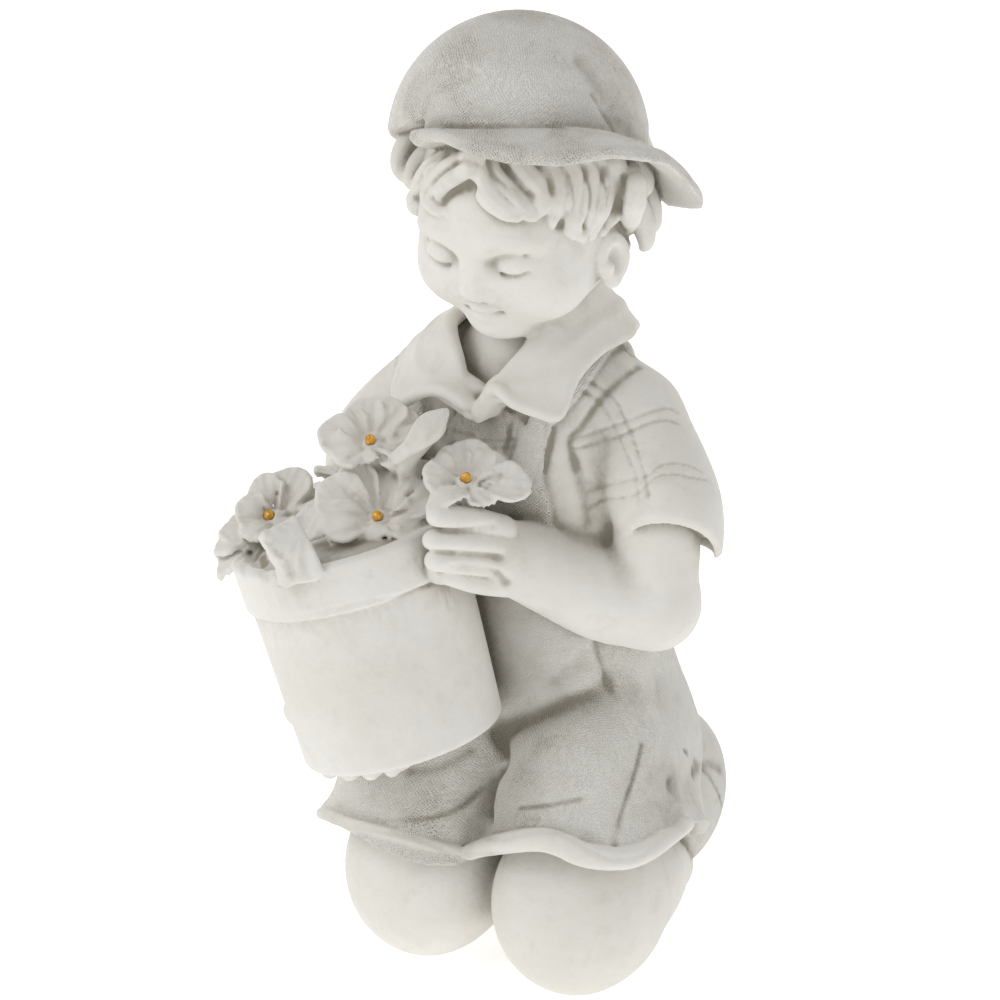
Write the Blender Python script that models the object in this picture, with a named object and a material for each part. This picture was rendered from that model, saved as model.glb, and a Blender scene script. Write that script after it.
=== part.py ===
"""Boy with flowers garden statue: one casting and four amber beads, in metres, at real size.

The casting is modelled as a block of clay: a grid of cells that holds the distance to the surface. Every form
below adds to it or cuts from it. Lengths of the figure are in shares, 465 of which make the whole height.
X is the figure's left, -Y its front and +Z is up.
"""

import math

import bpy
import numpy as np
import openvdb

HEIGHT = 0.46
SHARE = HEIGHT / 465
CELL = 2.2
CASTING_TRIANGLES = 8300
FAR = 14.0
BEAD_RADIUS = 0.0025
BEAD_CLEARANCE = 0.0003
ORIGIN = np.array([-6.2, -32.7, 0.0])
LOW, HIGH = (-140, -176, -14), (124, 158, 480)

# Half the thickness of a petal.
LEAF = 2.0

# The viewpoint: a long way off, 35 degrees to the figure's left and 20 degrees up.
AZIMUTH, ELEVATION, DISTANCE, PIXEL = math.radians(35), math.radians(20), 2000.0, 0.49
RIGHT = np.array([math.cos(AZIMUTH), math.sin(AZIMUTH), 0.0])
UP = np.array([-math.sin(AZIMUTH) * math.sin(ELEVATION), math.cos(AZIMUTH) * math.sin(ELEVATION),
               math.cos(ELEVATION)])
BACK = np.array([math.sin(AZIMUTH) * math.cos(ELEVATION), -math.cos(AZIMUTH) * math.cos(ELEVATION),
                 math.sin(ELEVATION)])
AIM = RIGHT * (500 - 563) * PIXEL + UP * (929 - 500) * PIXEL
EYE = AIM + BACK * DISTANCE
FOCUS = DISTANCE / PIXEL

# The flower pot: a leaning tapered bucket with a band under its lip.
POT_BASE = np.array([-24.7, -95.7, 129.7])
POT_AXIS = np.array([-0.265, -0.08, 0.961])
POT_BODY, POT_BAND = 79.0, 24.0
POT_RADII = (47.3, 50.5, 54.0)

# The cap: a dome and a bent peak turned to the figure's left.
DOME_CENTRE = np.array([-1.0, -38.0, 406.0])
DOME_AXIS = np.array([-0.24, 0.34, 0.91])
PEAK_WAY = np.array([0.961, -0.226, 0.155])

HEAD = np.array([4.0, -40.0, 375.0])
HEAD_PITCH, HEAD_TURN = math.radians(19), math.radians(4)

# Each flower: its middle, the way it faces, its radius, and the turn of its first petal.
FLOWERS = (
    ((-38.9, -99.3, 271.6), (0.10, -0.50, 0.86), 24, 0.35),
    ((9.9, -95.3, 261.8), (0.30, -0.25, 0.92), 27, 0.1),
    ((-26.1, -111.3, 241.6), (0.12, -0.62, 0.78), 27, 0.7),
    ((-88.2, -109.1, 228.1), (-0.35, -0.62, 0.70), 21, 0.2),
)

# Petals: the flower they belong to, then for each the way out in the picture to its tip, how far the tip comes
# forward, its width and how much it arches.
PETALS = (
    (0, ((318, 430, -1, 21, 0.12), (342, 415, -6, 18, 0.1), (362, 398, -10, 20, 0.08), (388, 396, -10, 26, 0.1),
         (418, 414, -6, 24, 0.12), (400, 452, 3, 20, 0.3), (366, 462, 9, 20, 0.42), (330, 454, 5, 22, 0.26))),
    (1, ((424, 468, 2, 22, 0.2), (446, 446, -5, 18, 0.1), (478, 440, -9, 22, 0.08), (505, 458, -6, 22, 0.12),
         (532, 486, 0, 22, 0.2), (496, 498, 7, 22, 0.4), (452, 500, 8, 22, 0.36))),
    (2, ((318, 486, -2, 26, 0.14), (344, 466, -7, 22, 0.1), (382, 460, -9, 24, 0.08), (412, 470, -7, 22, 0.1),
         (438, 490, -1, 22, 0.2), (420, 520, 6, 22, 0.34), (372, 540, 9, 25, 0.42), (320, 526, 4, 22, 0.26))),
    (3, ((236, 505, 0, 19, 0.2), (262, 474, -6, 20, 0.1), (300, 468, -6, 26, 0.12), (318, 492, -1, 22, 0.2),
         (300, 524, 5, 19, 0.32), (240, 534, 5, 22, 0.3))),
)

# The collar: pairs of a point where it rolls over and the point of its edge below, from the front round the neck.
COLLAR = (
    ((2, -74, 290), (3, -76, 288)), ((9, -72, 299), (15, -80, 303)), ((14, -68, 307), (25, -79, 298)),
    ((17, -62, 313), (36, -74, 294)), ((21, -55, 320), (42, -68, 293)), ((26, -42, 329), (41, -54, 306)),
    ((26, -30, 331), (42, -36, 314)), ((25, -20, 332), (41, -13, 315)), ((22, -6, 333), (38, -3, 316)),
    ((13, 4, 333), (28, 12, 312)), ((0, 8, 332), (2, 20, 310)), ((-17, 2, 330), (-28, 14, 308)),
    ((-30, -12, 326), (-48, -8, 303)), ((-35, -28, 322), (-60, -28, 301)), ((-34, -44, 319), (-58, -48, 294)),
    ((-28, -54, 316), (-50, -66, 286)), ((-19, -62, 309), (-39, -73, 285)), ((-12, -67, 300), (-26, -78, 293)),
    ((-5, -71, 293), (-14, -79, 296)), ((-1, -73, 290), (-3, -77, 291)),
)

# Hem heights round each leg by the angle from its front, turning to the figure's left.
HEM_LEFT = ((-180, 44), (-120, 50), (-90, 55), (-75, 61), (-60, 70), (-45, 78), (-30, 86), (-15, 92), (0, 93),
            (15, 89), (30, 85), (45, 85), (60, 87), (75, 87), (90, 80), (105, 68), (120, 56), (135, 48), (180, 44))

HEM_RIGHT = ((-180, 44), (-150, 46), (-120, 56), (-105, 62), (-90, 66), (-60, 66), (-45, 66), (-30, 71), (-15, 75),
             (0, 76), (15, 75), (30, 71), (45, 66), (60, 64), (75, 60), (90, 56), (120, 50), (180, 44))

# The peak's edge: how far it lies below the middle of the dome, by the angle from its middle line.
PEAK_EDGE = ((-90, -3), (-75, -6), (-60, -15), (-45, -21), (-30, -23), (-15, -19), (0, -20), (15, -30), (30, -33),
             (45, -30), (60, -26), (75, -12), (90, -5))


def unit(v):
    v = np.array(v, float)
    return v / np.linalg.norm(v)


def axes_of(normal, along):
    """Rows: along, across, normal, square to each other and right handed."""
    n = unit(normal)
    a = unit(np.array(along, float) - np.dot(along, n) * n)
    return np.array([a, np.cross(n, a), n])


def blend(a, b, k):
    """The smaller of two distances, rounded where they are within k of each other."""
    if k <= 0:
        return np.minimum(a, b)
    h = np.maximum(k - np.abs(a - b), 0) / k
    return np.minimum(a, b) - h * h * (k / 4)


def local(x, y, z, centre, axes):
    x, y, z = x - float(centre[0]), y - float(centre[1]), z - float(centre[2])
    return [x * float(a[0]) + y * float(a[1]) + z * float(a[2]) for a in axes]


def path(points, steps=5):
    """A smooth curve through the rows given."""
    p = np.array(points, float)
    p = np.vstack([2 * p[0] - p[1], p, 2 * p[-1] - p[-2]])
    t = np.linspace(0, 1, steps, endpoint=False)[:, None]
    rows = [
        0.5 * (2 * b + (c - a) * t + (2 * a - 5 * b + 4 * c - d) * t**2 + (3 * b - a - 3 * c + d) * t**3)
        for a, b, c, d in zip(p, p[1:], p[2:], p[3:])
    ]
    return np.vstack(rows + [p[-2:-1]])


def sight(way, u, v):
    """Starts and directions of lines of sight: from the viewpoint in pixels, or square on in shares."""
    u, v = np.array(u, float)[:, None], np.array(v, float)[:, None]
    if way == "front":
        return np.broadcast_to(EYE, (len(u), 3)), RIGHT * (u - 500) / FOCUS + UP * (500 - v) / FOCUS - BACK
    o = 0 * u
    start, along = {
        "back": (np.hstack([u, o + DISTANCE, v]), (0, -1, 0)),
        "left": (np.hstack([o + DISTANCE, u, v]), (-1, 0, 0)),
        "right": (np.hstack([o - DISTANCE, u, v]), (1, 0, 0)),
        "top": (np.hstack([u, v, o + DISTANCE]), (0, 0, -1)),
    }[way]
    return start, np.broadcast_to(np.array(along, float), (len(u), 3))


def ball(centre, radii, axes=None):
    axes = np.eye(3) if axes is None else np.array(axes)
    c, r = np.array(centre, float), np.ones(3) * radii
    reach = np.sqrt(((axes * r[:, None]) ** 2).sum(axis=0))

    def distance(x, y, z):
        q = local(x, y, z, c, axes)
        k0 = np.maximum(np.sqrt(sum((v / s) ** 2 for v, s in zip(q, r.tolist()))), 1e-3)
        k1 = np.maximum(np.sqrt(sum((v / (s * s)) ** 2 for v, s in zip(q, r.tolist()))), 1e-3 / r.max())
        return k0 * (k0 - 1) / k1

    return c - reach, c + reach, distance


def segment(a, b, ra, rb, flat=None):
    """Distance to one tapered length of a limb."""
    ab = b - a
    length = max(float(ab @ ab), 1e-9)

    def distance(x, y, z):
        v = [x - float(a[0]), y - float(a[1]), z - float(a[2])]
        t = np.clip((v[0] * float(ab[0]) + v[1] * float(ab[1]) + v[2] * float(ab[2])) / length, 0, 1)
        v = [v[i] - t * float(ab[i]) for i in range(3)]
        if flat is None:
            return np.sqrt(v[0] ** 2 + v[1] ** 2 + v[2] ** 2) - (float(ra) + t * float(rb - ra))
        n, f = flat
        s = v[0] * float(n[0]) + v[1] * float(n[1]) + v[2] * float(n[2])
        side = v[0] ** 2 + v[1] ** 2 + v[2] ** 2 - s * s
        m = np.sqrt(np.maximum(side + (f * s) ** 2, 1e-6))
        slope = np.sqrt(np.maximum(side + (f * f * s) ** 2, 1e-6)) / m
        return (m - (float(ra) + t * float(rb - ra))) / slope

    return distance


def tube(points, radii, flat=None, steps=5):
    """A round limb along a curve. flat gives a direction and how many times thinner it is that way."""
    rows = path(np.column_stack([np.array(points, float), np.broadcast_to(radii, len(points))]), steps)
    ends, r = rows[:, :3], np.maximum(rows[:, 3], 0.1)
    parts = [segment(*row, flat) for row in zip(ends, ends[1:], r, r[1:])]

    def distance(x, y, z):
        best = parts[0](x, y, z)
        for part in parts[1:]:
            best = np.minimum(best, part(x, y, z))
        return best

    return (ends - r[:, None]).min(axis=0), (ends + r[:, None]).max(axis=0), distance


def cone(start, end, r0, r1, soft=2.0, wide=1.0, wide_way=(1, 0, 0)):
    """A tapered drum between two points. wide stretches its section along wide_way."""
    start, end = np.array(start, float), np.array(end, float)
    height = np.linalg.norm(end - start)
    rows = axes_of(end - start, wide_way)
    taper = (r1 - r0) / height
    reach = max(r0, r1) * max(wide, 1)

    def distance(x, y, z):
        u, v, w = local(x, y, z, start, rows)
        rim = np.sqrt((u / wide) ** 2 + v * v)
        slope = np.sqrt((u / wide / wide) ** 2 + v * v) / np.maximum(rim, 1e-3)
        side = (rim - (r0 + taper * w)) / np.maximum(slope, 0.3) / math.hypot(1, taper)
        return -blend(-side, -(np.abs(w - height / 2) - height / 2), soft)

    return np.minimum(start, end) - reach, np.maximum(start, end) + reach, distance


def plate(origin, axes, size, outline, height, half, soft=2.0):
    """A thin curved leaf over a plane whose axes are length, width and normal."""
    o = np.array(origin, float)

    def distance(x, y, z):
        u, v, w = local(x, y, z, o, axes)
        return -blend(-(np.abs(w - height(u, v)) - half(u, v)) * 0.9, -outline(u, v), soft)

    return o - size, o + size, distance


def outer_skin(points, quads):
    """Only the largest connected surface, so that no hollow is left sealed inside."""
    label = np.arange(len(points))
    while True:
        new = label.copy()
        least = label[quads].min(axis=1)
        for column in quads.T:
            np.minimum.at(new, column, least)
        new = new[new]
        if (new == label).all():
            break
        label = new
    kept = label == np.bincount(label).argmax()
    number = np.cumsum(kept) - 1
    return points[kept], number[quads[kept[quads[:, 0]]]]


class Clay:
    """A block of cells; each holds the distance to the surface, negative inside."""

    def __init__(self, cell, low=LOW, high=HIGH):
        self.cell = cell
        self.start = np.floor(np.array(low) / cell).astype(int)
        self.count = np.ceil(np.array(high) / cell).astype(int) - self.start + 1
        self.field = np.full(self.count, FAR, np.float32)

    def window(self, low, high):
        a = np.clip(np.floor(np.array(low) / self.cell).astype(int) - self.start, 0, self.count)
        b = np.clip(np.ceil(np.array(high) / self.cell).astype(int) - self.start + 1, 0, self.count)
        where = tuple(slice(i, j) for i, j in zip(a, b))
        lines = [((np.arange(i, j) + s) * self.cell).astype(np.float32) for i, j, s in zip(a, b, self.start)]
        return where, lines[0][:, None, None], lines[1][None, :, None], lines[2][None, None, :]

    def put(self, where, distance, k):
        self.field[where] = blend(self.field[where], distance, k)

    def add(self, shape, k=3.0, pad=8.0):
        where, x, y, z = self.window(shape[0] - pad, shape[1] + pad)
        self.put(where, shape[2](x, y, z), k)

    def limb(self, points, radii, k=3.0, flat=None, steps=5, cut=False):
        """As add with a tube, worked out only near each length of it."""
        rows = path(np.column_stack([np.array(points, float), np.broadcast_to(radii, len(points))]), steps)
        ends, r = rows[:, :3], np.maximum(rows[:, 3], 0.1)
        pad = r.max() + k + 3
        low, high = ends.min(axis=0) - pad, ends.max(axis=0) + pad
        where, x, y, z = self.window(low, high)
        near = Clay.__new__(Clay)
        near.cell, near.start = self.cell, self.start + [s.start for s in where]
        near.field = np.full([s.stop - s.start for s in where], FAR, np.float32)
        near.count = np.array(near.field.shape)
        for a, b, ra, rb in zip(ends, ends[1:], r, r[1:]):
            part, x, y, z = near.window(np.minimum(a, b) - pad, np.maximum(a, b) + pad)
            near.field[part] = np.minimum(near.field[part], segment(a, b, ra, rb, flat)(x, y, z))
        if cut:
            self.field[where] = -blend(-self.field[where], near.field, k)
        else:
            self.put(where, near.field, k)

    def cut(self, shape, k=2.0, pad=4.0):
        where, x, y, z = self.window(shape[0] - pad, shape[1] + pad)
        self.field[where] = -blend(-self.field[where], shape[2](x, y, z), k)

    def stroke(self, points, width, depth, steps=4):
        """Press a groove along a curve, or raise a ridge where depth is negative."""
        ends = path(points, steps)
        pad = 2.6 * width + self.cell
        where, x, y, z = self.window(ends.min(axis=0) - pad, ends.max(axis=0) + pad)
        near = Clay.__new__(Clay)
        near.cell, near.start = self.cell, self.start + [s.start for s in where]
        near.field = np.full([s.stop - s.start for s in where], 9 * width, np.float32)
        near.count = np.array(near.field.shape)
        for a, b in zip(ends, ends[1:]):
            part, x, y, z = near.window(np.minimum(a, b) - pad, np.maximum(a, b) + pad)
            near.field[part] = np.minimum(near.field[part], segment(a, b, 0.0, 0.0)(x, y, z))
        self.field[where] += (depth * np.exp(-((near.field / width) ** 2))).astype(np.float32)

    def sample(self, points, values=None):
        """Values of the cells at points, mixed from the eight cells round each."""
        values = self.field if values is None else values
        q = np.clip(points / self.cell - self.start, 0, self.count - 1.001)
        i = q.astype(int)
        f = (q - i).astype(np.float32)
        total = 0
        for corner in range(8):
            step = np.array([corner & 1, corner >> 1 & 1, corner >> 2 & 1])
            share = np.prod(np.where(step, f, 1 - f), axis=-1)
            j = i + step
            total = total + share * values[j[..., 0], j[..., 1], j[..., 2]]
        return total

    def seen(self, way, points, steps=6, jump=9.0):
        """Runs of surface points where the lines of sight through a curve first meet the clay."""
        rows = path(points, steps)
        o, d = sight(way, rows[:, 0], rows[:, 1])
        t = np.arange(DISTANCE - 330, DISTANCE + 330, self.cell * 0.8)
        line = o[:, None] + d[:, None] * t[None, :, None]
        q = np.rint(line / self.cell).astype(int) - self.start
        inside = ((q >= 0) & (q < self.count)).all(axis=-1)
        q = np.clip(q, 0, self.count - 1)
        hit = inside & (self.field[q[..., 0], q[..., 1], q[..., 2]] < 0)
        found, first = hit.any(axis=1), np.maximum(hit.argmax(axis=1), 1)
        near, far = t[first - 1] - self.cell, t[first]
        for _ in range(7):
            mid = (near + far) / 2
            below = self.sample(o + d * mid[:, None]) < 0
            near, far = np.where(below, near, mid), np.where(below, mid, far)
        p = o + d * far[:, None]
        runs, run = [], []
        for i in range(len(p)):
            if found[i] and (not run or np.linalg.norm(p[i] - run[-1]) < jump):
                run.append(p[i])
            else:
                runs.append(run)
                run = [p[i]] if found[i] else []
        return [np.array(r) for r in runs + [run] if len(r) > 1]

    def draw(self, way, points, width, depth, steps=6, dash=None):
        """Press a line seen from one side: a groove, or a ridge where depth is negative. dash gives stitches."""
        for run in self.seen(way, points, steps):
            if dash is None:
                self.stroke(run, width, depth, 1)
                continue
            along = np.concatenate([[0], np.cumsum(np.linalg.norm(np.diff(run, axis=0), axis=1))])
            for start in np.arange(0, along[-1], dash):
                s = np.linspace(start, min(start + dash * 0.58, along[-1]), 3)
                self.stroke(np.column_stack([np.interp(s, along, run[:, i]) for i in range(3)]), width, depth, 1)

    def cord(self, way, points, radii, k=1.0, sink=0.4, flat=1.0, steps=6):
        """Lay a rounded lock, fold or lip on the surface along a line seen from one side."""
        for run in self.seen(way, points, steps):
            where = np.linspace(0, 1, len(run))
            r = np.interp(where, np.linspace(0, 1, len(radii)), radii)
            g = self.slope(run)
            run = run - g * (r * sink)[:, None]
            self.limb(run, r, k, (unit(g.mean(axis=0)), flat) if flat > 1 else None, 1)

    def slope(self, points):
        """Unit directions out of the surface at points."""
        e = self.cell * 1.5
        g = np.stack([self.sample(points + s) - self.sample(points - s) for s in np.eye(3) * e], axis=-1)
        return g / np.maximum(np.linalg.norm(g, axis=-1, keepdims=True), 1e-6)

    def cloth(self, base, thickness, clip, k=1.0, soft=1.5):
        """Lay cloth of this thickness over the base, inside the clip shape."""
        where, x, y, z = self.window(clip[0], clip[1])
        cover = -blend(-(base.field[where] - thickness), -clip[2](x, y, z), soft)
        self.put(where, cover, k)

    def join(self, other, k=1.0):
        a = other.start - self.start
        where = tuple(slice(i, i + n) for i, n in zip(a, other.count))
        self.put(where, other.field, k)

    def copy(self):
        twin = Clay.__new__(Clay)
        twin.cell, twin.start, twin.count, twin.field = self.cell, self.start, self.count, self.field.copy()
        return twin


def inside_block(low, high, cell):
    """A smaller block whose corners lie on the same cells."""
    return Clay(cell, np.maximum(low, LOW), np.minimum(high, HIGH))


def aim(u, v, near, forward=0.0):
    """The point on a line of sight that lies as far back as the point near, or forward of that."""
    o, d = sight("front", [u], [v])
    return (o + d * (((np.array(near, float) - EYE) @ BACK + forward) / (d @ BACK))[:, None])[0]


def leg_angle(x, y, centre, long_half, wide_half, turn):
    """The angle round an oval leg from its front, in degrees."""
    s, c = math.sin(math.radians(turn)), math.cos(math.radians(turn))
    dx, dy = x - centre[0], y - centre[1]
    return np.degrees(np.arctan2((dx * c - dy * s) / wide_half, -(dx * s + dy * c) / long_half))


def knees_and_feet(clay):
    legs = Clay(clay.cell, LOW, (HIGH[0], HIGH[1], 110))
    for x, y in ((38, -45), (-44, -51)):
        legs.add(ball((x, y, 43), (40, 41, 45)), 8)
        legs.add(tube([(x, y + 12, 42), (x * 0.78, 8, 33), (x * 0.5, 48, 23)], [38, 30, 21]), 8)
        legs.add(ball((x * 0.46, 60, 13), (14, 22, 15)), 5)
    clay.join(legs, 1)


def shorts(clay):
    """The legs and seat of the overalls, with flared hems that stand clear of the knees."""
    low, high = (-124, -150, -5), (108, 126, 200)
    cloth = inside_block(low, high, clay.cell)
    legs = (
        # thigh points, radii, middle, long and wide half, turn, top middle and its half width
        (((38, -52, 64), (36, -34, 98), (27, -6, 108), (18, 20, 92)), (38, 42, 42, 36), (36, -16), 69, 40, -17,
         (25, -3, 140), 20),
        (((-44, -58, 60), (-40, -38, 94), (-30, -6, 106), (-22, 22, 90)), (40, 42, 42, 36), (-48, -18), 70, 47, 10,
         (-32, -6, 140), 24),
    )
    for points, radii, middle, long_half, wide_half, turn, top, narrow in legs:
        along = (math.sin(math.radians(turn)), math.cos(math.radians(turn)), 0)
        ratio = long_half / wide_half
        cloth.add(tube(points, radii), 12)
        cloth.add(cone((*middle, 10), (*middle, 88), wide_half + 2, wide_half - 2, 6, ratio, along), 12)
        cloth.add(cone((*middle, 80), top, wide_half - 3, narrow, 6, ratio, along), 14)
    cloth.add(ball((0, 22, 96), (49, 42, 48)), 14)
    where, x, y, z = cloth.window(low, high)
    rows = [np.interp(leg_angle(x, y, middle, long_half, wide_half, turn), *np.array(table, float).T)
            for (_, _, middle, long_half, wide_half, turn, _, _), table in zip(legs, (HEM_LEFT, HEM_RIGHT))]
    hem = np.where(x > -4, rows[0], rows[1])
    flare = (np.where(x > -4, 6.5, 8) * np.exp(-np.clip(z - hem, 0, 60) / 7)).astype(np.float32)
    cloth.field -= flare
    inner = cloth.field + 6
    cloth.field = -blend(-cloth.field, -(hem - z) * 0.8, 3)
    hollow = -blend(-inner, -(z - hem - 9), 3)
    cloth.field = -blend(-cloth.field, hollow, 2)
    for x in (-14, 14):
        cloth.add(ball((x, 62, 56), (31, 41, 44)), 6)
    # The dark fold between the legs and the seam of the seat.
    cloth.stroke([(-2, -96, 70), (0, -84, 96), (4, -68, 122), (8, -52, 140)], 4.5, 8)
    cloth.stroke([(-1, -60, 60), (0, -40, 50), (0, 0, 40)], 8, 12)
    clay.join(cloth, 7)


def torso(clay):
    points = [(0, 16, 100), (0, 2, 132), (0, -9, 168), (0, -15, 204), (0, -20, 240), (0, -22, 272)]
    clay.add(tube(points, [60, 58, 55, 54, 57, 52], flat=((0, 1, 0), 1.28)), 12)
    clay.add(tube([(-56, -25, 274), (-28, -24, 286), (0, -22, 292), (28, -20, 288), (50, -17, 278)],
                  [21, 23, 25, 23, 21]), 12)
    clay.add(tube([(1, -24, 296), (3, -34, 336)], [24, 24]), 12)


def hem_left(x, y):
    return np.clip(151 + 0.55 * x - y, 213, 252)


def hem_right(x, y):
    return np.clip(143 - 0.5 * (x + 8) - 0.8 * (y + 9), 214, 242)


def arms(clay):
    """Sleeves, upper arms, forearms and the two hands."""
    left = ((48, -17, 279), (62, -22, 258), (73, -26, 243), (76, -27, 226), (75, -28, 210))
    right = ((-55, -25, 276), (-69, -31, 256), (-78, -35, 240), (-80, -35, 222), (-80, -34, 210))
    for points, radii, hem in ((left, (23, 26, 25.5, 24, 21), hem_left), (right, (24, 28, 29, 27, 24), hem_right)):
        rows = np.array(points, float)
        sleeve = inside_block(rows.min(axis=0) - 50, rows.max(axis=0) + 40, clay.cell)
        sleeve.add(tube(points, radii), 0, 30)
        where, x, y, z = sleeve.window((-300, -300, 0), (300, 300, 500))
        edge = hem(x, y)
        hollow = -blend(-(sleeve.field + 3.8), -(z - edge - 10), 3)
        sleeve.field = -blend(-sleeve.field, -(edge - z) * 0.7, 3)
        sleeve.field = -blend(-sleeve.field, hollow, 2)
        clay.join(sleeve, 6)
    clay.add(tube([(48, -17, 276), (69, -26, 240), (72, -29, 194)], [19, 20, 22]), 1)
    clay.add(tube([(-55, -25, 274), (-77, -35, 238), (-80, -34, 196)], [19, 20, 22]), 1)
    # The left forearm rises a little to the hand on the lip of the pot.
    clay.add(tube([(72, -28, 194), (52, -42, 201), (34, -58, 212), (25, -68, 220)], [23.5, 23, 20, 17]), 5)
    clay.add(tube([(30, -64, 216), (20, -84, 227)], [17, 17], flat=(unit((0.92, -0.3, 0.1)), 1.6)), 5)
    clay.add(tube([(20, -86, 226), (6, -108, 226)], [12, 9]), 3)
    fingers = (
        ((22, -84, 239), (19, -104, 249), (12, -119, 254)),
        ((24, -82, 230), (20, -105, 239), (11, -121, 243)),
        ((24, -82, 221), (20, -104, 229), (11, -120, 233)),
        ((22, -82, 212), (19, -100, 218), (13, -113, 224)),
    )
    for row, radius in zip(fingers, (6.2, 6.0, 5.8, 5.2)):
        clay.add(tube(row, [radius + 0.8, radius, radius - 0.8]), 0.8)
    # The right forearm goes under the pot, with the hand palm up beneath it.
    clay.add(tube([(-80, -30, 196), (-80, -52, 166), (-68, -80, 132)], [23, 21, 15]), 6)
    clay.add(tube([(-64, -84, 127), (-40, -102, 122)], [15, 14], flat=(unit((0.25, 0.1, 0.96)), 2.2)), 5)
    for x, y, z in ((-54, -115, 113), (-41, -117, 116), (-28, -118, 120), (-16, -117, 124)):
        clay.add(tube([(x + 1, y + 20, z + 5), (x, y + 10, z + 2), (x, y, z)], [5.2, 4.8, 4.4]), 0.8)
    clay.add(tube([(-70, -92, 124), (-76, -108, 134), (-70, -118, 142)], [8, 7, 6]), 3)


def pot(clay):
    """The leaning pot, its band and its lip."""
    low = POT_BASE
    neck = low + POT_AXIS * POT_BODY
    top = neck + POT_AXIS * POT_BAND
    clay.add(cone(low, neck + POT_AXIS * 4, POT_RADII[0], POT_RADII[1] + 0.4, 4), 1.5)
    clay.add(cone(neck, top, POT_RADII[2] - 1, POT_RADII[2], 3), 0.6)
    clay.cut(cone(top - POT_AXIS * 5, top + POT_AXIS * 12, POT_RADII[2] - 8, POT_RADII[2] - 7, 2), 2)
    clay.add(ball(top - POT_AXIS * 8, (45, 45, 9), axes_of(POT_AXIS, (1, 0, 0))), 4)
    clay.add(ball((-36, -84, 220), (38, 30, 24)), 8)
    clay.add(ball((-26, -78, 240), (26, 18, 20)), 8)
    clay.add(ball((-70, -90, 222), (24, 20, 17)), 8)


def petal(clay, base, tip, normal, width, arch=0.15, notches=0.0, half=None, veins=4, wave=1.0):
    """A fan-shaped petal or leaf from its base to its tip, with veins pressed along it and a thicker edge."""
    base, tip = np.array(base, float), np.array(tip, float)
    half = LEAF if half is None else half
    length = np.linalg.norm(tip - base)
    out = unit(tip - base)
    n = unit(np.array(normal, float) - np.dot(normal, out) * out)
    rows = np.array([out, np.cross(n, out), n])
    middle, wide = 0.6 * length, width / 2

    def fan(u, v):
        s = np.clip(u / length, 0, 1.1)
        return s, v / (wide * (0.34 + 0.66 * np.clip(u / middle, 0, 1)))

    def radius(u, v):
        s, f = fan(u, v)
        a = np.where(u < middle, (u - middle) / (middle * 1.15), (u - middle) / (0.4 * length))
        return np.sqrt(a * a + f * f), np.arctan2(f, a)

    def outline(u, v):
        r, turn = radius(u, v)
        return (r - 1 - notches * np.cos(5 * turn) * (np.abs(turn) < 1.6)) * min(0.4 * length, wide)

    def height(u, v):
        s, f = fan(u, v)
        lines = sum(np.exp(-(((f - q) / 0.1) ** 2)) for q in np.linspace(-0.6, 0.6, veins))
        return (arch * length * np.sin(np.pi * s) + wave * (np.sin(f * 4.2) * 0.6 + 1.3 * f * f) * s
                - 0.9 * lines * (0.4 + 0.6 * s))

    def edge(u, v):
        r, _ = radius(u, v)
        return half + 0.6 * np.exp(-(((r - 0.93) / 0.12) ** 2))

    clay.add(plate(base, rows, max(length, width) + 6, outline, height, edge, 1.4), 0.5, 2)


def aim_back(point):
    """Where a point shows in the picture."""
    d = (np.array(point, float) - EYE)
    depth = -(d @ BACK)
    return np.array([500 + d @ RIGHT / depth * FOCUS, 500 - d @ UP / depth * FOCUS])


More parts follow.
